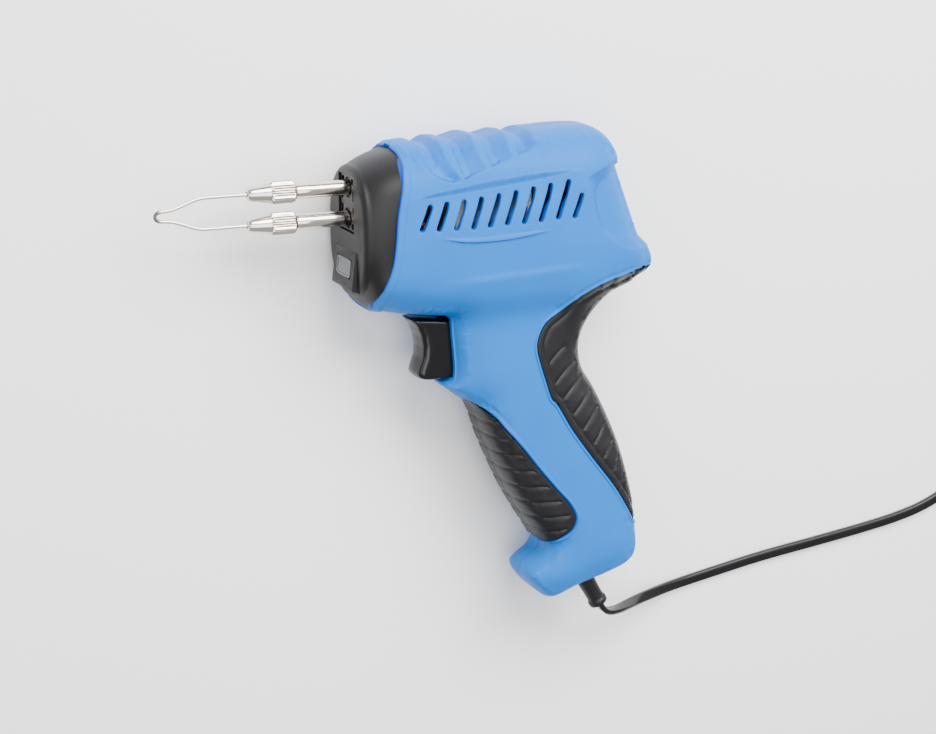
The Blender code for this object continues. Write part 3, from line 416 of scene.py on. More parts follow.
cordPath, cordLength, cordPoints, cordFaces = makeCord()
cord = addPiece("cord", cordPoints, cordFaces, "housing", "black_cord",
                ("power_cord", "cord_coil", "cord_plug_end"))


plug = {"centre": (414.8, -127.5), "length": 33.0, "half": (13.0, 6.9), "floor": -28.0}


def makePlug():
    rings, size = [], 32
    x0 = plug["centre"][0] - plug["length"] / 2
    middle = plug["floor"] + plug["half"][1]
    # distance from the cord end, half width, half height
    profile = [(0, 2.2, 2.0), (0.2, 3.2, 2.8), (1.4, 4.3, 3.5), (5, 5.0, 4.1), (5.3, 4.5, 3.7),
               (6.3, 4.6, 3.8),
               (6.6, 5.4, 4.5), (8.2, 5.9, 4.9), (8.5, 5.4, 4.5), (9.5, 5.8, 4.7), (9.8, 6.7, 5.3),
               (12, 8.7, 6.0), (15, 11.2, 6.5), (17, 12.2, 6.7), (17.4, 11.8, 6.3),
               (18.4, 11.9, 6.3), (18.8, 12.6, 6.8),
               (20.6, 12.9, 6.9), (21.0, 12.4, 6.4), (22.0, 12.4, 6.4), (22.4, 13, 6.9),
               (24.2, 13, 6.9),
               (24.6, 12.5, 6.4), (25.6, 12.5, 6.4), (26, 13, 6.9), (31.6, 13, 6.9),
               (32.6, 12.5, 6.4),
               (33, 11.6, 5.6)]
    for out, wide, high in profile:
        for i in range(size):
            angle = 2 * math.pi * i / size
            c, s = math.cos(angle), math.sin(angle)
            soft = 2 / 3.4
            rings.append((x0 + out, plug["centre"][1] + wide * math.copysign(abs(c) ** soft, c),
                          middle + high * math.copysign(abs(s) ** soft, s)))
    return addPiece("plug", rings, ringFaces(len(profile), size), "housing", "black_cord",
                    ("plug_body",), sharp=50)


plugPiece = makePlug()
cordLength / 1000
print("cord", round(cordLength / 1000, 3))

# housing shells
shellMake = {
    "body": [(-20, 14.5), (8, 20.5), (19.6, 23.8), (23.5, 25.6), (34, 26.2), (46, 27.6),
             (62, 27.9),
             (84, 28.2), (107, 28.7), (115, 27.8), (120.6, 24.6), (125, 19.5), (128.2, 12.5),
             (131.4, 4),
             (135.2, -6), (139, -16), (142.5, -25), (145.3, -32), (145.4, -37), (142, -40.8),
             (134, -44.4), (120, -49), (100, -53), (70, -54.5), (47, -53.4), (22, -50.4),
             (8, -47.4), (-20, -40)],
    "handle": [(47, -44), (60, -36), (112, -34), (136, -43.8), (125, -49.4), (118, -55),
               (112.5, -61.8),
               (109.6, -68.5), (109.2, -76), (111, -83), (116.2, -91.5), (121.4, -101.2),
               (127.6, -114.6),
               (132, -126.4), (135.4, -138), (138.4, -151), (140, -164), (140.6, -172.6),
               (138.8, -178),
               (134.4, -181.8), (125, -185.2), (110, -189.2), (96.4, -193.4), (92, -191.8),
               (86.6, -187.4),
               (82.8, -182.4), (82, -179.4), (84.6, -175.4), (92.4, -169.6), (91, -164.6),
               (83, -151.6),
               (75.6, -138.6), (69.8, -126.2), (64.4, -113.6), (60.6, -102.6), (57.2, -96),
               (46.6, -88.6),
               (43, -85), (46.6, -82.6)],
    "joint": [(18.6, 27), (18.9, 24.5), (19, 23.2), (18.8, 19.8), (17.6, 13.9), (16.5, 8.3),
              (15.3, 2.8),
              (14, -4.2), (13.2, -13.6), (11.8, -24.5), (8.8, -33.9), (5.9, -40.3), (5.4, -43),
              (6.3, -46),
              (9, -49.5)],
    "bodyPillow": (28.0, 17.0, 22.0), "handlePillow": (18.5, 12.0, 13.0), "blend": 8.0,
    "step": 0.85, "grid": 0.95, "wall": 2.8, "seam": 0.15, "recess": 1.6,
    "rows": [0, .03, .1, .22, .39, .6, .87, 1.2, 1.6, 2.05, 2.6, 3.2, 3.9, 4.7],
    "slots": [((25, -10.5), (29.8, 1.3)), ((32.7, -10.6), (37.4, 1.9)),
              ((40.7, -10.8), (45.4, 2.5)),
              ((48.7, -10.9), (53.5, 3.2)), ((56.6, -10.6), (61.9, 4.1)),
              ((64.8, -10.2), (70.1, 4.8)),
              ((73, -10.3), (78.5, 5.9)), ((81.1, -10.1), (86.8, 6.9)), ((89.5, -9.5), (95.2, 8)),
              ((97.6, -9.6), (101.6, 1.5))],
    "slotHalf": 1.12,
    "bands": [([(27.3, 34), (26.4, 34.2), (21.5, 32.9), (14.9, 36.2), (10.7, 40.9)],
               [(27.6, 39.9), (26.5, 39), (21.3, 38.5), (14.6, 42.1), (10.3, 44.8)], 5.2),
              ([(28.5, 47.8), (27.4, 46.9), (22.3, 46.9), (17.3, 47.7), (12.8, 48.9)],
               [(28.6, 55.7), (27.7, 55.4), (24.7, 53.5), (18.3, 54.9), (15, 57.3)], 3.7),
              ([(28.9, 63.1), (27.8, 62.3), (23.6, 61.6), (19.4, 62.2), (17.3, 62.5)],
               [(28.8, 71.9), (27.9, 71.4), (25.2, 69.7), (21.5, 68.9), (19.4, 70.6)], 3.7),
              ([(28.2, 78.4), (27.9, 77.7), (24.8, 77.4), (21.1, 76.8)],
               [(28.3, 83.8), (28, 83.5), (25.2, 82.1), (23.2, 83.8)], 3.7)],
    "envelope": [(24.6, 25.1), (24.8, 20.4), (28, 16.5), (31.4, 14.1), (35.8, 11.5), (40, 10.3),
                 (44.3, 10.3), (48.6, 12.5), (56.9, 15), (62.5, 17.1), (70.6, 19.4), (76.8, 21.1),
                 (83.8, 23.2), (92.9, 25.4), (99, 28)],
    "bandDeep": 1.95,
    "creaseUp": [(22, 4.2), (27, 5.1), (53.1, 9.5), (79.6, 11.7), (95.7, 12.2), (101, 12.2)],
    "creaseLow": [(22, 3.9), (27, 4.1), (53.1, 6.2), (79.6, 9), (95.7, 11.3), (101, 11.9)],
    "leafUp": [(33.9, -13.5), (49.6, -14.4), (63.7, -14), (87.4, -13.4)],
    "leafLow": [(33.9, -13.7), (46.1, -16), (63.7, -16.3), (75.3, -15.2), (87.4, -13.6)],
    "rearOuter": [(123.5, 14.9), (104.9, 7.9), (105.8, 4.5), (111.1, -14.2), (121.9, -24.2),
                  (146, -28)],
    "rearInner": [(122.6, 9.8), (110.4, 2.9), (113.4, -13.6), (121.8, -18.9), (136.5, -21.4),
                  (150, -23)],
    "rearDeep": 2.6,
    "rearGrip": [(129.6, -38), (121, -39.8), (113.4, -42), (102.4, -47.8), (95.1, -53.6),
                 (87.8, -58.7),
                 (84.3, -66.1), (84.1, -70.3), (85.8, -77), (88.4, -84.9), (91.8, -94.3),
                 (93.8, -96.2),
                 (102.4, -110.2), (113.6, -125.5), (124.9, -140.1), (134.5, -154.9),
                 (136.6, -158.3),
                 (141, -160.5)],
    "frontGrip": [(53, -92.6), (58.3, -95.8), (64, -100.3), (69.3, -106.8), (77.2, -116.2),
                  (85.6, -127.2), (94.2, -137.7), (101.3, -146.1), (104.2, -152.5), (103, -157.5),
                  (98.7, -161.3), (92.8, -164.7), (89, -167)],
    "foot": [((85.5, -180.2), (101, -168.4), 0.30), ((92.2, -190.4), (85.5, -180.2), 0.25)],
    "screws": [(33, 15.5), (117, 11), (25, -38.6), (129, -33), (80, -96), (118, -152)],
    "screwHole": (3.1, 3.3, 3.6),
    "trigger": (-82.7, -54.4, 10.2),  # low end, high end, least height
    "creaseDeep": 1.15, "leafDeep": 0.75, "ridgeDeep": 0.55, "rimDeep": 0.75, "rimWide": 3.0,
    "beadDeep": 0.5, "grooveDeep": 0.3, "slotSink": 0.45, "slotBow": 0.12,
    # strength of the painted shade: share of the darker colour laid along each crease, gap and
    # edge, on the inside and in the pits
    "paintedShade": {"leaf": 0.5, "gripEdge": 0.75, "joint": 0.8, "band": 0.6, "crease": 0.2,
             "rearFacet": 0.17, "slot": 0.35, "inside": 0.45, "pit": 0.4},
}
shell = shellMake
bodyLoop, handleLoop = smoothLine(shell["body"], 0.8), smoothLine(shell["handle"], 0.8)


def pillow(d, half, roundIn, roundDeep):
    t = np.clip(d / roundIn, 0, 1)
    up = half - roundDeep + roundDeep * np.sqrt(np.maximum(1 - (1 - t) ** 2, 0))
    crown = 1.3 * (1 - np.exp(-np.maximum(d - roundIn, 0) / 12))
    return np.where(d < 0, half - roundDeep + 2.2 * d, up + crown)


def height(points):
    points = np.asarray(points, float)
    half, roundIn, roundDeep = shell["bodyPillow"]
    x = points[:, 0]
    half = half - 1.3 - 1.6 * ease((50 - x) / 35) - 1.6 * ease((x - 105) / 35)
    b = pillow(signedDistance(points, bodyLoop), half, roundIn, roundDeep)
    h = pillow(signedDistance(points, handleLoop), *shell["handlePillow"])
    k = shell["blend"]
    return np.maximum(b, h) + np.maximum(k - np.abs(b - h), 0) ** 2 / (4 * k)


jointLine = smoothLine(shell["joint"], 0.85, closed=False)


def jointX(y):
    order = np.argsort(jointLine[:, 1])
    return np.interp(y, jointLine[order, 1], jointLine[order, 0])


def makeOutline():
    step = shell["step"]
    body, handle = smoothLine(shell["body"], step), smoothLine(shell["handle"], step)
    keepBody = (signedDistance(body, handleLoop) < -0.25) & (body[:, 0] > jointX(body[:, 1]) + 0.3)
    keepHandle = signedDistance(handle, bodyLoop) < -0.25
    breaks = np.where(np.diff(keepBody.astype(int)))[0] + 1
    runs = [body[part] for part in np.split(np.arange(len(body)), breaks)
            if keepBody[part[0]] and len(part) > 8]
    start = int(np.argmax(~keepHandle))
    rolled, kept = np.roll(handle, -start, 0), np.roll(keepHandle, -start)
    grip = rolled[kept]
    top, bottom = runs[0], runs[-1]
    joint = jointLine[(jointLine[:, 1] < top[0, 1] - 0.3)
                      & (jointLine[:, 1] > bottom[-1, 1] + 0.3)]
    loop = np.concatenate([top, grip, bottom, joint[::-1]])
    free = np.zeros(len(loop), bool)
    free[len(loop) - len(joint):] = True
    return loop, free


outline, atJoint = makeOutline()
print("outline", len(outline))


def bandEdges(left, right, y):
    l, r = np.array(left)[::-1], np.array(right)[::-1]
    return np.interp(y, l[:, 0], l[:, 1]), np.interp(y, r[:, 0], r[:, 1])


def bandDepth(p):
    x, y = p[:, 0], p[:, 1]
    depth = np.zeros(len(p))
    deep = shell["bandDeep"]
    before = np.full(len(p), -1e3)
    for left, right, floor in shell["bands"]:
        xl, xr = bandEdges(left, right, y)
        start = xl - floor
        run = np.maximum(start - before, 4)
        fall = np.where((x < start) & (x > before) & (before > 0), (x - before) / run, 0) * 0.4
        step = 0.4 + 0.6 * ease((x - start) / 0.55)
        if before[0] < 0:
            step = ease((x - start) / 0.7)
        onFloor = (x >= start) & (x < xl)
        rise = 1 - np.clip((x - xl) / np.maximum(xr - xl, 1), 0, 1)
        onRise = (x >= xl) & (x < xr)
        depth = np.where(onFloor, step, np.where(onRise, rise, np.maximum(depth, fall)))
        before = xr
    edge = np.array(shell["envelope"])
    inside = np.where(x < 24.7, -5, y - np.interp(x, edge[:, 0], edge[:, 1]))
    inside = np.where(x > 99, -5, inside)
    return depth * deep * np.clip(inside / 0.9, 0, 1) * ease((inside + 0.2) / 3.2 + 0.35)


def between(p, low, high):
    low, high = np.array(low), np.array(high)
    return (np.interp(p[:, 0], low[:, 0], low[:, 1]), np.interp(p[:, 0], high[:, 0], high[:, 1]))


def rearArea(key, corners):
    line = smoothLine(shell[key], 0.8, False)
    return line, np.concatenate([line, corners])


rearOuter, rearOuterArea = rearArea("rearOuter", [(160, -28), (160, 20), (123.5, 20)])
rearInner, rearInnerArea = rearArea("rearInner", [(160, -23), (160, 12), (122.6, 12)])


def shapeDepth(p):
    x, y = p[:, 0], p[:, 1]
    out = -bandDepth(p)
    low, up = between(p, shell["creaseLow"], shell["creaseUp"])
    ends = ease((x - 22) / 12) * ease((101 - x) / 18)
    inCrease = np.clip((up - y) / np.maximum(up - low, 0.3), 0, 1)
    out -= shell["creaseDeep"] * ends * inCrease * (1 - ease((low - y) / 16))
    leafUp, leafLow = smoothLine(shell["leafUp"], 1, False), smoothLine(shell["leafLow"], 1, False)
    yUp, yLow = np.interp(x, leafUp[:, 0], leafUp[:, 1]), np.interp(x, leafLow[:, 0],
                                                                    leafLow[:, 1])
    t = (yUp - y) / np.maximum(yUp - yLow, 0.25)
    leafEnds = ease((x - 33.9) / 9) * ease((87.4 - x) / 12)
    leafShape = np.where(t <= 1, t, np.maximum(0, 1 - (t - 1) * (yUp - yLow) / 0.5))
    out += shell["leafDeep"] * leafEnds * np.where(t < 0, 0, leafShape)
    # rear flank, sunk behind a slanting facet
    dO, dI = lineDistance(p, rearOuter, False), lineDistance(p, rearInner, False)
    inO, inI = insideLoop(p, rearOuterArea), insideLoop(p, rearInnerArea)
    facet = np.where(inI, 1.0, np.where(inO, dO / (dO + dI + 1e-9), 0))
    top = np.clip((15.5 - y) / 4, 0, 1)
    out -= shell["rearDeep"] * facet * top
    # soft ridge along the belly
    ridge = y + 33.4 - (x - 70) * 0.045
    ridgeHigh = shell["ridgeDeep"] * ease((x - 34) / 22) * ease((112 - x) / 26)
    out += ridgeHigh * np.exp(-(ridge / np.where(ridge > 0, 1.5, 3.6)) ** 2)
    # facets of the foot
    for (x0, y0), (x1, y1), slope in shell["foot"]:
        way = np.array((x1 - x0, y1 - y0)) / math.hypot(x1 - x0, y1 - y0)
        beyond = (x - x0) * -way[1] + (y - y0) * way[0]
        sink = slope * np.clip(beyond, 0, 9) * ease((beyond + 0.2) / 0.8)
        out -= sink * ease((y1 + 7 - y) / 7) * (y < -158)
    # raised rim behind the nose
    away = lineDistance(p, jointLine, False)
    rim = shell["rimDeep"] * (1 - ease((away - shell["rimWide"]) / 1.5))
    return out + np.where(y > -50, rim * np.sqrt(np.clip((away + 0.12) / 0.9, 0, 1)), 0)


def makeGripAreas():
    rear = smoothLine(shell["rearGrip"], 0.8, False)
    front = smoothLine(shell["frontGrip"], 0.8, False)
    return [(rear, np.concatenate([rear, [(175, -160), (175, -38), (150, -36)]])),
            (front, np.concatenate([front, [(70, -170), (40, -130), (45, -92)]]))]


gripAreas = makeGripAreas()
grooveMake = {
    "rear": [((98, -70), (93, -74), (88.5, -79)), ((104, -78), (97, -83), (91.5, -89)),
             ((108, -85.5), (101, -91), (95, -97.5)), ((112, -93), (106, -99), (100, -105.5)),
             ((116, -101), (110.5, -107), (105.5, -113)),
             ((120, -109), (115.5, -115), (111, -121)),
             ((124, -117.5), (120, -123), (116.5, -128.5)),
             ((127.5, -126), (124.5, -131), (121.5, -136)),
             ((130.5, -135), (128.2, -139.5), (126.3, -143.6))],
    "front": [((50, -99.5), (60, -103.2), (66.5, -104.4)),
              ((54, -107.5), (65, -110.6), (72.4, -111.8)),
              ((57, -116), (69.5, -118.8), (78.6, -119.8)),
              ((61, -124.4), (74, -127), (84.4, -127.8)),
              ((65, -133), (79, -135.2), (90.4, -135.8)),
              ((70, -141.5), (84.5, -143.4), (96.4, -143.6)),
              ((75, -150), (89.5, -151.4), (100.4, -151)),
              ((81, -158), (93, -158.8), (99.6, -157.8))],
    "half": 0.62, "deep": 0.6,
    "border": 3.4,
}
grooveLines = [smoothLine(line, 0.7, False) for name in ("rear", "front")
               for line in grooveMake[name]]


def slotLoop(ends, grow):
    (x0, y0), (x1, y1) = ends
    a, b = np.array((x0, y0)), np.array((x1, y1))
    way = (b - a) / np.linalg.norm(b - a)
    side = np.array((way[1], -way[0]))
    half = shell["slotHalf"] + grow
    a, b = a + way * shell["slotHalf"], b - way * shell["slotHalf"]
    loop = []
    for sign, end, steps in ((1, b, np.linspace(0, 1, 11)), (-1, a, np.linspace(1, 0, 11))):
        for t in steps:
            bow = shell["slotBow"] * 4 * t * (1 - t)
            loop.append(a + (b - a) * t + side * (bow + sign * half))
        for angle in np.linspace(0, math.pi, 8)[1:-1]:
            loop.append(end + sign * half * (math.cos(angle) * side + math.sin(angle) * way))
    return np.array(loop)


def circleLoop(centre, radius, count=20):
    angles = circle(count)
    return np.array(centre) + radius * np.stack([np.cos(angles), np.sin(angles)], 1)


def sideways(line, offset):
    way = unit(np.gradient(line, axis=0))
    return line + offset * np.stack([way[:, 1], -way[:, 0]], 1)


def makeNet(holes):
    points, edges = [outline], []
    n = len(outline)
    edges += [(i, (i + 1) % n) for i in range(n)]
    count = n
    way = unit(np.roll(outline, -1, 0) - np.roll(outline, 1, 0))
    inward = np.stack([way[:, 1], -way[:, 0]], 1)
    middle = outline[~atJoint]
    side = inward[~atJoint]
    for row in shell["rows"][1:]:
        p = middle + side * row
        good = (lineDistance(p, outline) > 0.93 * row) & insideLoop(p, outline)
        good &= p[:, 0] > jointX(p[:, 1]) + 0.3
        points.append(p[good])
        count += int(good.sum())

    def addLoop(loop, closed=True):
        nonlocal count
        points.append(loop)
        m = len(loop)
        edges.extend((count + i, count + (i + 1) % m) for i in range(m if closed else m - 1))
        count += m

    for loops in holes:
        for loop in loops:
            addLoop(loop)
    guides = []
    for line, area in gripAreas:
        for offset in (-0.16, 0.16):
            shifted = sideways(line, offset)
            inside = insideLoop(shifted, outline) & (lineDistance(shifted, outline) > 0.02)
            guides.append(shifted[inside])
        for offset in (0.5, 0.9, 1.35, 1.9, 2.9, 3.3, 3.8):
            guides += [sideways(line, offset), sideways(line, -offset)]
    for line in grooveLines:
        for offset in (-0.75, -0.4, 0, 0.4, 0.75):
            guides.append(sideways(line, offset))
    for key in ("creaseUp", "creaseLow", "leafUp", "leafLow", "rearOuter", "rearInner"):
        line = smoothLine(shell[key], 0.8, False)
        for offset in (-0.3, 0, 0.3):
            guides.append(sideways(line, offset))
    for left, rightLine, floor in shell["bands"]:
        ys = np.arange(9, 29.2, 0.7)
        xl, xr = bandEdges(left, rightLine, ys)
        for shift in (-floor - 0.15, -floor + 0.3, -floor + 0.8, -0.3, 0.25):
            guides.append(np.stack([xl + shift, ys], 1))
        for shift in (-0.3, 0.3):
            guides.append(np.stack([xr + shift, ys], 1))
    edge = smoothLine(shell["envelope"], 0.8, False)
    for offset in (-1.0, -0.45, 0, 0.3):
        guides.append(sideways(edge, offset))
    for offset in (0.12, 0.4, 0.8, 1.4, 2.2, 3.0, 3.5, 4.0, 4.6):
        guides.append(jointLine + (offset, 0))
    cell, fineCell = 0.42, 0.2

    def cellOf(p, size=cell):
        return int(math.floor(p[0] / size)), int(math.floor(p[1] / size))

    taken = {cellOf(p) for p in np.concatenate(points)}
    takenFine = set()

    def claimed(p):
        i, j = cellOf(p)
        return any((i + a, j + b) in taken for a in (-1, 0, 1) for b in (-1, 0, 1))

    holeLoops = [loops[0] for loops in holes]
    extra = np.concatenate(guides)
    extra = extra[insideLoop(extra, outline)]
    extra = extra[lineDistance(extra, outline) > 0.35]
    for loop in holeLoops:
        near = np.abs(extra - loop.mean(0)).max(1) < 12
        bad = np.zeros(len(extra), bool)
        bad[near] = insideLoop(extra[near], loop) | (lineDistance(extra[near], loop) < 0.5)
        extra = extra[~bad]
    keep = []
    for p in extra:
        if cellOf(p, fineCell) not in takenFine and cellOf(p) not in taken:
            takenFine.add(cellOf(p, fineCell))
            keep.append(p)
    taken |= {cellOf(p) for p in keep}
    points.append(np.array(keep))
    g = shell["grid"]
    xs, ys = np.arange(-6, 148, g), np.arange(-195, 30, g * 0.866)
    grid = np.array([(x + (j % 2) * g / 2, y) for j, y in enumerate(ys) for x in xs])
    grid = grid[insideLoop(grid, outline)]
    grid = grid[lineDistance(grid, outline[~atJoint], False) > shell["rows"][-1] * 0.95]
    grid = grid[grid[:, 0] > jointX(grid[:, 1]) + 0.5]
    grid = np.array([p for p in grid if not claimed(p)])
    for loop in holeLoops:
        near = np.abs(grid - loop.mean(0)).max(1) < 12
        bad = np.zeros(len(grid), bool)
        bad[near] = insideLoop(grid[near], loop)
        grid = grid[~bad]
    points.append(grid)
    flat = np.concatenate(points)
    out = delaunay_2d_cdt([Vector(p) for p in flat.tolist()], edges, [], 0, 1e-6)
    net = np.array([v[:] for v in out[0]])
    tris = np.array([f for f in out[2] if len(f) == 3])
    mid = net[tris].mean(1)
    good = insideLoop(mid, outline)
    for loop in holeLoops:
        near = np.abs(mid - loop.mean(0)).max(1) < 14
        inside = np.zeros(len(mid), bool)
        inside[near] = insideLoop(mid[near], loop)
        good &= ~inside
    tris = tris[good]
    a, b, c = net[tris[:, 0]], net[tris[:, 1]], net[tris[:, 2]]
    area = (b[:, 0] - a[:, 0]) * (c[:, 1] - a[:, 1]) - (b[:, 1] - a[:, 1]) * (c[:, 0] - a[:, 0])
    tris[area < 0] = tris[area < 0][:, ::-1]
    tris = tris[np.abs(area) > 1e-7]
    used = np.unique(tris)
    back = np.full(len(net), -1)
    back[used] = np.arange(len(used))
    return net[used], back[tris]


def rimEdges(tris):
    e = np.concatenate([tris[:, [0, 1]], tris[:, [1, 2]], tris[:, [2, 0]]])
    key = {(int(a), int(b)) for a, b in e}
    return [(a, b) for a, b in key if (b, a) not in key]


def normalsOf(points, tris):
    face = np.cross(points[tris[:, 1]] - points[tris[:, 0]],
                    points[tris[:, 2]] - points[tris[:, 0]])
    out = np.zeros_like(points)
    for k in range(3):
        for axis in range(3):
            out[:, axis] += np.bincount(tris[:, k], face[:, axis], len(points))
    return out / (np.linalg.norm(out, axis=1)[:, None] + 1e-12)


def makeBase(net, tris):
    h = height(net)
    dist = np.minimum(lineDistance(net, outline[~atJoint], False), 30)
    pairs = np.unique(np.sort(np.concatenate([tris[:, [0, 1]], tris[:, [1, 2]], tris[:, [2, 0]]]),
                              1), axis=0)
    degree = np.bincount(pairs.ravel(), minlength=len(net)).astype(float)
    weight = ease((dist - 2) / 5) * 0.7
    for _ in range(70):
        total = (np.bincount(pairs[:, 0], h[pairs[:, 1]], len(net))
                 + np.bincount(pairs[:, 1], h[pairs[:, 0]], len(net)))
        h = h + weight * (total / np.maximum(degree, 1) - h)
    low, high, least = shell["trigger"]
    zone = (ease((net[:, 1] - low + 1.0) / 1.5) * ease((high + 1.5 - net[:, 1]) / 1.5)
            * ease((66 - net[:, 0]) / 6))
    h = np.where(zone > 0, np.maximum(h, h * (1 - zone) + least * zone), h)
    points = np.column_stack([net, h])
    normals = normalsOf(points, tris)
    way = unit(np.roll(outline, -1, 0) - np.roll(outline, 1, 0))
    outward = np.stack([-way[:, 1], way[:, 0]], 1)
    edge = np.where(dist < 0.01)[0]
    for i in edge:
        j = int(np.argmin(((outline - net[i]) ** 2).sum(1)))
        if not atJoint[j]:
            normals[i] = (*outward[j], 0)
    return points, normals, dist


def closeShell(outer, inner, tris, bottoms):
    n = len(outer)
    points = [outer, inner]
    faces = [tuple(t) for t in tris] + [(a + n, c + n, b + n) for a, b, c in tris]
    low = {}
    extra = []
    for i, z in bottoms.items():
        low[i] = (2 * n + len(extra), 2 * n + len(extra) + 1)
        extra += [(outer[i][0], outer[i][1], z), (inner[i][0], inner[i][1], z)]
    rim = rimEdges(tris)
    ends = {}
    for a, b in rim:
        if a in low and b in low:
            faces += [(b, a, low[a][0], low[b][0]), (low[b][0], low[a][0], low[a][1], low[b][1]),
                      (a + n, b + n, low[b][1], low[a][1])]
            for v, sign in ((a, 1), (b, -1)):
                ends[v] = ends.get(v, 0) + sign
        else:
            faces.append((b, a, a + n, b + n))
    for v, sign in ends.items():
        if sign == 1:
            faces.append((v, v + n, low[v][1], low[v][0]))
        elif sign == -1:
            faces.append((v, low[v][0], low[v][1], v + n))
    if extra:
        points.append(np.array(extra, float))
    return np.concatenate(points), faces


def gripSigned(net):
    out = []
    for line, area in gripAreas:
        d = lineDistance(net, line, False)
        out.append(np.where(insideLoop(net, area), d, -d))
    return out


def mirrored(points, faces, sideSign):
    points[:, 2] *= sideSign
    return points, faces if sideSign > 0 else [tuple(f)[::-1] for f in faces]


def holeDistance(net, loop):
    near = np.abs(net - loop.mean(0)).max(1) < 11
    d = np.full(len(net), 9.0)
    d[near] = lineDistance(net[near], loop)
    return d


def makePaintedShade(net, nearest, holes):
    # painted shade: darker blue along the leaf's lower step, beside the grips, beside the nose
    # joint, at the foot of each rib step, on the rib risers, along the band zone's lower edge, in
    # the crease, on the rear facet and round the slots
    x, y = net[:, 0], net[:, 1]
    low, up = between(net, shell["creaseLow"], shell["creaseUp"])
    leaf = smoothLine(shell["leafLow"], 1, False)
    paintedShade = shell["paintedShade"]
    mark = (paintedShade["leaf"] * np.exp(-(lineDistance(net, leaf, False) / 0.35) ** 2)
            * ease((x - 36) / 8) * ease((86 - x) / 8))
    mark = np.maximum(mark, paintedShade["gripEdge"] * np.exp(-((nearest + 0.12) / 0.45) ** 2))
    away = lineDistance(net, jointLine, False)
    mark = np.maximum(mark, np.where(y > -50, paintedShade["joint"] * np.exp(-(away / 0.5) ** 2), 0))
    edge = np.array(shell["envelope"])
    inside = y - np.interp(x, edge[:, 0], edge[:, 1])
    deepHere = np.maximum(bandDepth(net + (0, 0.9)), 0) / shell["bandDeep"]
    band = np.exp(-((inside - 0.3) / 0.4) ** 2) * deepHere * ((x > 25) & (x < 97))
    for left, rightLine, floor in shell["bands"]:
        xl, xr = bandEdges(left, rightLine, y)
        band = np.maximum(band, 0.7 * np.exp(-((x - xl + floor - 0.2) / 0.35) ** 2)
                          * (inside > 0.2) * (y > 9))
        band = np.maximum(band, 0.38 * ease((x - xl) / 0.6) * ease((xr - x) / 0.6)
                          * ease(inside / 1.5) * (y > 9))
    mark = np.maximum(mark, paintedShade["band"] * band)
    inCrease = ease((up - y) / 0.5) * ease((y - low) / 0.5)
    mark = np.maximum(mark, paintedShade["crease"] * inCrease * ease((x - 24) / 14) * ease((100 - x) / 20))
    sunk = insideLoop(net, rearOuterArea) & ~insideLoop(net, rearInnerArea)
    mark = np.maximum(mark, paintedShade["rearFacet"] * sunk * (y < 15))
    for loops in holes[:len(shell["slots"])]:
        mark = np.maximum(mark, paintedShade["slot"] * np.exp(-(holeDistance(net, loops[0]) / 0.25) ** 2))
    return mark


def addPit(points, faces, net, rimIndex, centre):
    loop = [i for i in rimIndex if abs(np.hypot(*(net[i] - centre))
                                       - shell["screwHole"][0]) < 0.03]
    loop.sort(key=lambda i: math.atan2(net[i][1] - centre[1], net[i][0] - centre[0]))
    start, m = len(points), len(loop)
    # share of the hole's radius, height
    rings = [(centre[0] + (net[i][0] - centre[0]) * share,
              centre[1] + (net[i][1] - centre[1]) * share, z)
             for share, z in ((1.0, 8.1), (0.57, 8.1), (0.57, 6.1), (1.45, 6.1)) for i in loop]
    wanted = {(loop[j], loop[(j + 1) % m]) for j in range(m)}
    wanted |= {(b, a) for a, b in wanted}
    faces = [f for f in faces if not (len(f) == 4 and (f[0], f[1]) in wanted)]
    ids = [loop] + [[start + k * m + j for j in range(m)]
                    for k in range(4)] + [[i + len(net) for i in loop]]
    for near, far in zip(ids, ids[1:]):
        faces += [(near[j], near[(j + 1) % m], far[(j + 1) % m], far[j]) for j in range(m)]
    return np.concatenate([points, np.array(rings)]), faces


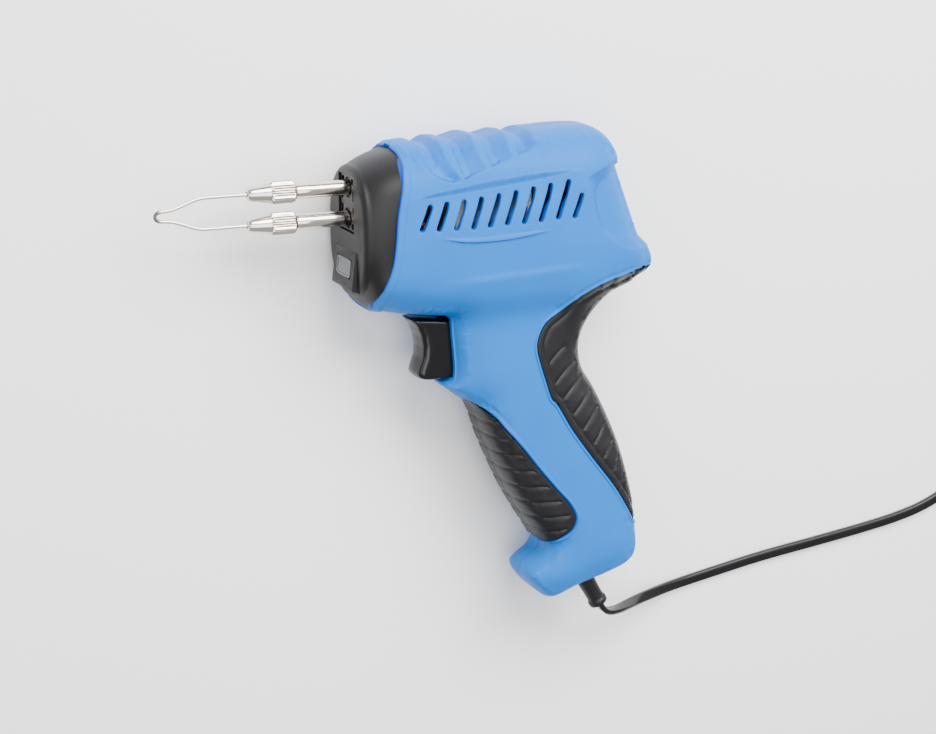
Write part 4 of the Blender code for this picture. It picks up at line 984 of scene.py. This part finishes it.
def makeHalf(sideSign, name, screwPits):
    holes = [[slotLoop(ends, grow) for grow in (0, 0.14, 0.34, 0.62)] for ends in shell["slots"]]
    if screwPits:
        holes += [[circleLoop(c, r) for r in shell["screwHole"]] for c in shell["screws"]]
    net, tris = makeNet(holes)
    base, normals, dist = makeBase(net, tris)
    depth = shapeDepth(net)
    grips = gripSigned(net)
    nearest = np.maximum(grips[0], grips[1])
    under = nearest > 0.0
    bead = shell["beadDeep"] * ease((nearest + 1.9) / 0.5) * (1 - ease((nearest + 0.75) / 0.45))
    groove = -shell["grooveDeep"] * ease((nearest + 0.7) / 0.3) * (nearest <= 0)
    housingDepth = np.where(under, -shell["recess"], depth + bead + groove)
    for loops in holes:
        nearHole = 1 - np.clip(holeDistance(net, loops[0]) / 0.62, 0, 1)
        housingDepth = housingDepth - shell["slotSink"] * nearHole ** 2
    outer = base + normals * housingDepth[:, None]
    inner = base - normals * (shell["wall"] + np.clip(-housingDepth - 0.7, 0, 2.2))[:, None]
    rimIndex = {i for e in rimEdges(tris) for i in e}
    onEdge = [i for i in rimIndex if dist[i] < 0.01]
    lowY, highY = shell["trigger"][:2]
    bottoms = {}
    for i in onEdge:
        x, y = net[i]
        opening = lowY < y < highY and x < 52
        bottoms[i] = 8.0 if opening else shell["seam"]
    points, faces = closeShell(outer, inner, tris, bottoms)
    # painted shade: the outer surface takes the shade mask, the whole inner surface and the screw
    # pits are darkened evenly
    shadeAndBurn = np.zeros(len(points))
    shadeAndBurn[:len(net)] = makePaintedShade(net, nearest, holes)
    shadeAndBurn[len(net):2 * len(net)] = shell["paintedShade"]["inside"]
    if screwPits:
        for centre in shell["screws"]:
            points, faces = addPit(points, faces, net, rimIndex, centre)
        shadeAndBurn = np.concatenate([shadeAndBurn, np.full(len(points) - len(shadeAndBurn), shell["paintedShade"]["pit"])])
    points, faces = mirrored(points, faces, sideSign)
    addPiece(name, points, faces, "housing", "blue_housing", (name,), sharp=38, shadeAndBurn=shadeAndBurn)
    makeGrips(sideSign, name.split("_")[1], net, tris, base, normals, dist, grips)


def makeGrips(sideSign, word, net, tris, base, normals, dist, grips):
    for which, key in ((0, "rear"), (1, "front")):
        signed = grips[which]
        part = tris[(signed[tris] > 0.1).all(1)]
        used = np.unique(part)
        back = np.full(len(net), -1)
        back[used] = np.arange(len(used))
        part = back[part]
        flat, s = net[used], signed[used]
        deep = np.zeros(len(used))
        for line in [smoothLine(l, 0.7, False) for l in grooveMake[key]]:
            d = lineDistance(flat, line, False)
            deep = np.maximum(deep, np.exp(-(d / grooveMake["half"]) ** 2))
        if key == "rear":
            border = 0.5 * np.exp(-((s - grooveMake["border"]) / 0.5) ** 2)
            inside = ease((s - grooveMake["border"] - 0.3) / 0.8)
        else:
            border = np.zeros(len(used))
            inside = ease((s - 1.4) / 1.0)
        swell = -0.5 * (1 - np.sqrt(np.clip(s / 1.1, 0, 1)))
        out = swell - grooveMake["deep"] * deep * inside - border + 0.12
        outer = base[used] + normals[used] * out[:, None]
        inner = base[used] - normals[used] * 1.35
        bottoms = {int(back[i]): shell["seam"] for i in used if dist[i] < 0.01}
        rim = {i for e in rimEdges(part) for i in e}
        bottoms = {i: z for i, z in bottoms.items() if i in rim}
        points, faces = mirrored(*closeShell(outer, inner, part, bottoms), sideSign)
        addPiece(f"{key}_grip_{word}", points, faces, "housing", "black_rubber",
                 (f"{key}_grip_{word}",), sharp=50)


makeHalf(1, "housing_left", False)
makeHalf(-1, "housing_right", True)
print("housing and grips")

# nose cap
noseMake = {"middle": -12.7, "faceHigh": 29.4, "faceWide": 23.3, "power": 2.35, "edge": 3.0,
            "inset": 0.7, "wall": 2.0, "steps": 120, "flank": 12, "bulge": 0.7,
            "wedge": [(1.5, -19.2), (-0.4, -20.4), (-2.6, -37.2), (1.5, -38.6)], "wedgeHalf": 13.0,
            "hole": (12.5, 9.1), "window": (-32.5, -24.1, 8.7)}


def polarRing(angles):
    rim = outline[atJoint]
    rim = rim[np.argsort(-rim[:, 1])]
    h = height(rim)
    y = np.concatenate([np.full(12, rim[0, 1]), rim[:, 1], np.full(12, rim[-1, 1])])
    z = np.concatenate([np.linspace(0, h[0], 13)[:-1], h, np.linspace(h[-1], 0, 13)[1:]])
    polar = np.arctan2(z, y - noseMake["middle"])
    radius = np.hypot(z, y - noseMake["middle"])
    order = np.argsort(polar)
    return np.interp(np.abs(angles), polar[order], radius[order])


def noseRings(shrink):
    m = noseMake
    angles = circle(m["steps"])
    wrapped = (angles + math.pi) % (2 * math.pi) - math.pi
    c, s = np.cos(angles), np.sin(angles)
    power = m["power"]
    squircle = ((np.abs(c) / m["faceHigh"]) ** power
                + (np.abs(s) / m["faceWide"]) ** power) ** (-1 / power)
    rear = polarRing(wrapped)
    rings = []
    edge = m["edge"]

    def ring(radius, x):
        y, z = m["middle"] + radius * c, radius * s
        rings.append(np.column_stack([np.broadcast_to(x, y.shape), y, z]))

    for a in np.linspace(0, math.pi / 2, 8):
        ring(squircle - edge * (1 - math.sin(a)) - shrink, edge * (1 - math.cos(a)) + shrink)
    last = squircle - shrink
    for t in np.linspace(0, 1, m["flank"] + 1)[1:]:
        bulge = m["bulge"] * math.sin(math.pi * t) * (1 - 0.4 * t)
        radius = last * (1 - t) + (rear - m["inset"] - shrink) * t + bulge
        x = (edge + shrink) * (1 - t) + (jointX(m["middle"] + radius * c) + 0.15) * t
        ring(radius, x)
    ring(rear - 2.9 - shrink * 0.7, jointX(m["middle"] + rear * c) + 0.3)
    ring(rear - 2.9 - shrink * 0.7, jointX(m["middle"] + rear * c) + 4.5)
    return np.array(rings)


def solidPrism(name, shape, low, high, bevel, axis="z"):
    n = len(shape)
    if axis == "z":
        points = [(x, y, low) for x, y in shape] + [(x, y, high) for x, y in shape]
    else:
        points = [(low, y, z) for y, z in shape] + [(high, y, z) for y, z in shape]
    faces = [tuple(range(n))[::-1], tuple(range(n, 2 * n))]
    faces += [(i, (i + 1) % n, (i + 1) % n + n, i + n) for i in range(n)]
    mesh = bpy.data.meshes.new(name)
    mesh.from_pydata(place(points).tolist(), [], faces)
    faceOutward(mesh, bevel=bevel)
    return newObject(name, mesh)


def boxShape(low, high):
    return [(low[0], low[1]), (high[0], low[1]), (high[0], high[1]), (low[0], high[1])]


def solidBox(name, low, high, bevel=0.0):
    return solidPrism(name, boxShape(low[:2], high[:2]), low[2], high[2], bevel)


def combine(piece, steps):
    for kind, tool in steps:
        change = piece.modifiers.new(tool.name, "BOOLEAN")
        change.operation, change.object, change.solver = kind, tool, "EXACT"
    bpy.context.view_layer.update()
    made = piece.evaluated_get(bpy.context.evaluated_depsgraph_get())
    mesh = bpy.data.meshes.new_from_object(made)
    piece.modifiers.clear()
    piece.data = mesh
    for _, tool in steps:
        bpy.data.objects.remove(tool)
    return piece


def soften(piece, width):
    edge = piece.modifiers.new("soften", "BEVEL")
    edge.width, edge.segments = width / 1000, 2
    edge.limit_method, edge.angle_limit = "ANGLE", math.radians(50)


def makeNose():
    m = noseMake
    outer, inner = noseRings(0), noseRings(m["wall"])
    size, count = m["steps"], len(outer)
    points = np.concatenate([outer.reshape(-1, 3), inner.reshape(-1, 3)])
    shell1 = ringFaces(count, size, True, False)
    shell2 = [tuple(i + count * size for i in f)[::-1]
              for f in ringFaces(count, size, True, False)]
    end1, end2 = (count - 1) * size, (2 * count - 1) * size
    faces = shell1 + shell2 + [(end1 + j, end1 + (j + 1) % size, end2 + (j + 1) % size, end2 + j)
                               for j in range(size)]
    nose = addPiece("nose_cap", points, faces, "housing", "black_nose", ("nose_cap",), sharp=30)
    faceOutward(nose.data)
    wedge = solidPrism("wedge", m["wedge"], -m["wedgeHalf"], m["wedgeHalf"], 0.5)
    hole = solidBox("hole", (-5, -m["hole"][0], -m["hole"][1]), (4.5, m["hole"][0], m["hole"][1]))
    window = solidPrism("window", boxShape((m["window"][0], -m["window"][2]),
                                           (m["window"][1], m["window"][2])),
                        -6, 5, 0, "x")
    combine(nose, [("UNION", wedge), ("DIFFERENCE", hole), ("DIFFERENCE", window)])
    soften(nose, 0.22)
    return finishPiece(nose, "housing", "black_nose", ("nose_cap",), sharp=30)


insulatorMake = {"front": 0.9, "back": 12.5, "half": (12.3, 8.95), "bore": 3.55, "rod": 6.8}


def makeInsulator():
    m = insulatorMake
    block = solidPrism("rod_insulator", boxShape((-m["half"][0], -m["half"][1]), m["half"]),
                       m["front"], m["back"], 0.35, "x")
    tools = []
    for side in (1, -1):
        ring = [(side * m["rod"] + m["bore"] * math.cos(a), m["bore"] * math.sin(a))
                for a in circle(40)]
        tools.append(("DIFFERENCE", solidPrism(f"bore{side}", ring, -3, 16, 0, "x")))
        collar = [(side * m["rod"] + 4.6 * math.cos(a), 4.6 * math.sin(a))
                  for a in circle(40)]
        tools.append(("DIFFERENCE", solidPrism(f"collar{side}", collar, -3, m["front"] + 0.8, 0,
                                               "x")))
        for z in (-1, 1):
            for n, (y0, y1, z0, z1) in enumerate([(8.6, 11.2, 4.2, 7.8), (1.2, 5.6, 5.6, 7.9)]):
                low = (-3, min(side * y0, side * y1), min(z * z0, z * z1))
                high = (5.0, max(side * y0, side * y1), max(z * z0, z * z1))
                tools.append(("DIFFERENCE", solidBox(f"vent{side}{z}{n}", low, high)))
    combine(block, tools)
    soften(block, 0.12)
    return finishPiece(block, "housing", "phenolic", ("rod_insulator",), sharp=30)


def makeLens():
    play = 0.15
    low, high, reach = noseMake["window"]
    y0, y1, wide = low + play, high - play, reach - play
    size = 40
    angles = circle(size)
    c, s = np.cos(angles), np.sin(angles)
    mid, half = (y0 + y1) / 2, (y1 - y0) / 2

    def ring(inset, out):
        soft = 2 / 6.5
        y = mid + (half - inset) * np.sign(c) * np.abs(c) ** soft
        z = (wide - inset) * np.sign(s) * np.abs(s) ** soft
        slope = -1.75 + (y - mid) * 0.131
        return np.column_stack([slope + out, y, z])

    rings = [ring(0, 2.1), ring(0, 0.25), ring(0.12, 0.08), ring(0.35, 0), ring(0.85, 0),
             ring(1.0, 0.1),
             ring(1.05, 0.32), ring(3.0, 0.22)]
    return addPiece("lamp_lens", np.concatenate(rings), ringFaces(len(rings), size), "housing",
                    "lens",
                    ("lamp_lens",), sharp=35)


# rods, nuts, tip
def lathe(name, profile, start, way, body, slot, stands, steps=48, sharp=35):
    way = np.array(way, float) / np.linalg.norm(way)
    side = np.cross(way, (0, 0, 1.0))
    side /= np.linalg.norm(side)
    other = np.cross(way, side)
    angles = circle(steps)
    points = []
    for radius, at, *cut in profile:
        for k, angle in enumerate(angles):
            r = radius - (cut[0] * (0, 0.55, 1, 0.55)[k % 4] if cut else 0)
            points.append(np.array(start) + way * at + r
                          * (math.cos(angle) * side + math.sin(angle) * other))
    count = len(profile)
    faces = ringFaces(count, steps, False, False)
    last = (count - 1) * steps
    faces += [(last + j, last + (j + 1) % steps, (j + 1) % steps, j) for j in range(steps)]
    piece = addPiece(name, points, faces, body, slot, stands, sharp=sharp)
    faceOutward(piece.data, merge=1e-7)
    piece.data.set_sharp_from_angle(angle=math.radians(sharp))
    return piece


metalMake = {"rod": 3.4, "rodEnd": 23.6, "thread": 3.0, "threadEnd": 33.0, "nutStart": 23.9,
             "nutEnd": 45.4,
             "nutRadius": 4.9, "noseRadius": 2.75, "cone": 35.1, "teeth": 0.5, "spread": 6.8,
             "wire": 0.875,
             "legs": [(-34, 6.8), (-50, 6.8), (-62.5, 6.8), (-65.7, 6.7), (-68.5, 6.1),
                      (-77.7, 2.9), (-80.1, 2.4),
                      (-84.2, 2.0), (-85.5, 1.5), (-86.2, .6)]}


def makeMetal():
    m = metalMake
    tail = -20.0
    for word, side in (("upper", 1), ("lower", -1)):
        at = (0, side * m["spread"], 0)
        thread = [(m["thread"] - (0.28 if k % 2 else 0.0), m["rodEnd"] + 0.5 + 0.375 * k)
                  for k in range(24)]
        lathe(f"{word}_rod", [(0.01, tail), (m["rod"] - 0.4, tail), (m["rod"], tail + 0.4),
                              (m["rod"], -4), (m["rod"], 6), (m["rod"], 16),
                              (m["rod"], m["rodEnd"] - 0.5),
                              (m["rod"] - 0.12, m["rodEnd"] - 0.18), (m["rod"] - 0.4, m["rodEnd"]),
                              (m["thread"], m["rodEnd"] + 0.05)] + thread
              + [(m["thread"] - 0.4, m["threadEnd"]), (1.2, m["threadEnd"]),
                 (1.1, m["threadEnd"] - 6),
                 (0.01, m["threadEnd"] - 6)], at, (-1, 0, 0), "housing", "chrome",
              (f"{word}_rod",), 64)
        start, end, r = m["nutStart"], m["nutEnd"], m["nutRadius"]
        cone, nose, cut = m["cone"], m["noseRadius"], m["teeth"]
        inner = m["thread"] + 0.3
        lathe(f"{word}_collet_nut",
              [(1.3, end), (nose - 0.45, end), (nose - 0.12, end - 0.12), (nose, end - 0.4),
               (nose + 0.42, end - 1.3),
               (r - 0.55, cone + 0.9), (r - 0.42, cone + 0.35), (r - 0.55, cone + 0.12),
               (r - 0.6, cone),
               (r - 0.42, cone - 0.1, 0.1), (r - 0.05, cone - 0.7, cut * 0.8),
               (r, cone - 1.0, cut),
               (r, start + 5, cut), (r, start + 1.1, cut), (r - 0.05, start + 0.8, cut * 0.8),
               (r - 0.6, start + 0.12, 0.06), (r - 0.8, start), (inner, start), (inner, 34.6),
               (2.2, end - 0.7), (1.3, end - 0.6)],
              at, (-1, 0, 0), f"{word}_nut", "chrome", (f"{word}_collet_nut",), 104)
    legs = [(x, y, 0) for x, y in m["legs"]]
    path = smoothLine(legs + [(x, -y, 0) for x, y, _ in legs[::-1]], 0.45, closed=False)
    size = 20
    points, burn = [], []
    for p, t in zip(path, unit(np.gradient(path, axis=0))):
        side = np.array((-t[1], t[0], 0))
        press = ease((-83.6 - p[0]) / 2.2)
        for k in range(size):
            angle = 2 * math.pi * k / size
            across = m["wire"] * (1 - 0.1 * press) * math.cos(angle)
            deep = m["wire"] * (1 - 0.12 * press) * math.sin(angle)
            points.append(p + side * across + np.array((0, 0, 1.0)) * deep)
            burn.append(float(0.85 * ease((-82.8 - p[0]) / 2.4)))
    addPiece("soldering_tip", points, ringFaces(len(path), size), "tip", "tinned_wire",
             ("soldering_tip",),
             shadeAndBurn=burn, sharp=60)


# trigger
triggerMake = {"front": [(-53.8, 26.6), (-55.2, 28.4), (-57.4, 30.2), (-61.8, 32.2), (-67, 33.1),
                         (-72, 32.8), (-76, 31.4),
                         (-79.2, 30.4), (-80.6, 30.8), (-81.6, 31.6), (-82.4, 33.6)],
               "top": [(26.6, -53.8), (36, -54.6), (46, -55.8), (58, -57.6)],
               "back": 58.0, "bottom": -82.4, "half": 7.5, "round": 3.0}


def makeTrigger():
    m = triggerMake
    front = np.array(m["front"])[::-1]
    top = np.array(m["top"])
    points = []
    levels = [0, 0.012, 0.03, 0.06] + list(np.linspace(0.1, 0.9,
                                                       26)) + [0.94, 0.97, 0.985, 0.995, 1.0]
    for v in levels:
        edge = min(v, 1 - v) * 28
        inset = 1.3 * (1 - math.sqrt(min(1, max(0.0, 1 - (1 - min(edge / 1.3, 1)) ** 2))))
        yFront = m["top"][0][1] * (1 - v) + m["bottom"] * v
        x0 = np.interp(yFront, front[:, 0], front[:, 1]) + inset
        x1, half, r = m["back"] - inset * 0.3, m["half"] - inset, m["round"]
        ring = []
        for z in np.linspace(-1, 1, 9):
            zz = z * (half - r)
            ring.append((x0 + 0.35 * z * z, zz))
        for a in np.linspace(0, math.pi / 2, 7)[1:]:
            ring.append((x0 + 0.35 + r * (1 - math.cos(a)), half - r + r * math.sin(a)))
        ring += [(x, half) for x in np.linspace(x0 + r + 3, x1 - 0.6, 8)]
        ring += [(x1, half - 0.6), (x1, -half + 0.6)]
        ring += [(x, -half) for x in np.linspace(x1 - 0.6, x0 + r + 3, 8)]
        for a in np.linspace(math.pi / 2, 0, 7)[:-1]:
            ring.append((x0 + 0.35 + r * (1 - math.cos(a)), -(half - r + r * math.sin(a))))
        size = len(ring)
        for x, z in ring:
            yTop = np.interp(x, top[:, 0], top[:, 1])
            points.append((x, yTop * (1 - v) + m["bottom"] * v, z))
    faces = [f[::-1] for f in ringFaces(len(levels), size)]
    return addPiece("trigger", points, faces, "trigger", "black_trigger", ("trigger",), sharp=55)


# strain relief
reliefMake = {"root": (118.4, -190.0, 0), "axis": (0.5, -0.866, 0), "length": 15.0}


def makeRelief():
    m = reliefMake
    end = m["length"]
    profile = [(0.01, -7), (4.0, -7), (4.2, -1), (4.25, 1.5), (4.12, 4), (4.02, 7),
               (3.98, end - 4.2), (4.0, end - 3.3),
               (4.2, end - 2.9), (4.5, end - 2.6), (4.62, end - 2.1), (4.62, end - 0.7),
               (4.45, end - 0.2),
               (4.1, end), (3.1, end), (2.9, end - 0.6), (2.9, end - 3), (0.01, end - 3)]
    return lathe("strain_relief", profile, m["root"], m["axis"], "housing", "black_rubber",
                 ("strain_relief",), 56)


makeNose()
makeInsulator()
makeLens()
makeMetal()
makeTrigger()
makeRelief()
print("nose, metal, trigger, relief")

# the parts whose shape stays
for entry in frame["record"]["subparts"]:
    node = frame["nodes"][entry["node"]]
    if not node.hide_render:
        node.data.materials.clear()
        node.data.materials.append(finishes[entry["material_slot"]])

# floor and light
light = {  # place, size in metres, power
    "key": ((200, 800, 850), (1.1, 0.7), 34.0), "fill": ((-800, 100, 800), (0.7, 0.9), 3.0),
    "top": ((-150, -50, 1300), (0.9, 0.9), 10.0), "back": ((700, 300, 700), (0.8, 0.8), 8.0),
    "aim": (50, -70, 0), "world": 0.6,
}
floorHalf, floorZ = 6, cadBox[0][2] - 0.0002
floorMesh = bpy.data.meshes.new("floor")
floorMesh.from_pydata([(a * floorHalf, b * floorHalf, floorZ)
                       for a, b in ((-1, -1), (1, -1), (1, 1), (-1, 1))], [], [(0, 1, 2, 3)])
floor = newObject("floor", floorMesh)
paper = Finish("pale_floor", Roughness=0.9)
speck = paper.add("ShaderNodeTexNoise", None, {"Scale": 60.0, "Detail": 4.0})
paper.give(Base_Color=paper.mix(speck, (0.95, 0.95, 0.95, 1), (0.98, 0.98, 0.98, 1)))
floorMesh.materials.append(paper.material)
world = bpy.data.worlds.new("studio")
world.use_nodes = True
world.node_tree.nodes["Background"].inputs[0].default_value = (1, 1, 1, 1)
world.node_tree.nodes["Background"].inputs[1].default_value = light["world"]
bpy.context.scene.world = world


def addLight(name, at, size, power):
    data = bpy.data.lights.new(name, "AREA")
    data.shape, data.size, data.size_y, data.energy = "RECTANGLE", size[0], size[1], power
    lamp = newObject(name, data)
    spot, goal = Vector(place(at)[0]), Vector(place(light["aim"])[0])
    turned = (goal - spot).to_track_quat("-Z", "Y").to_matrix().to_4x4()
    lamp.matrix_world = Matrix.Translation(spot) @ turned


for lampName in ("key", "fill", "top", "back"):
    addLight(lampName, *light[lampName])
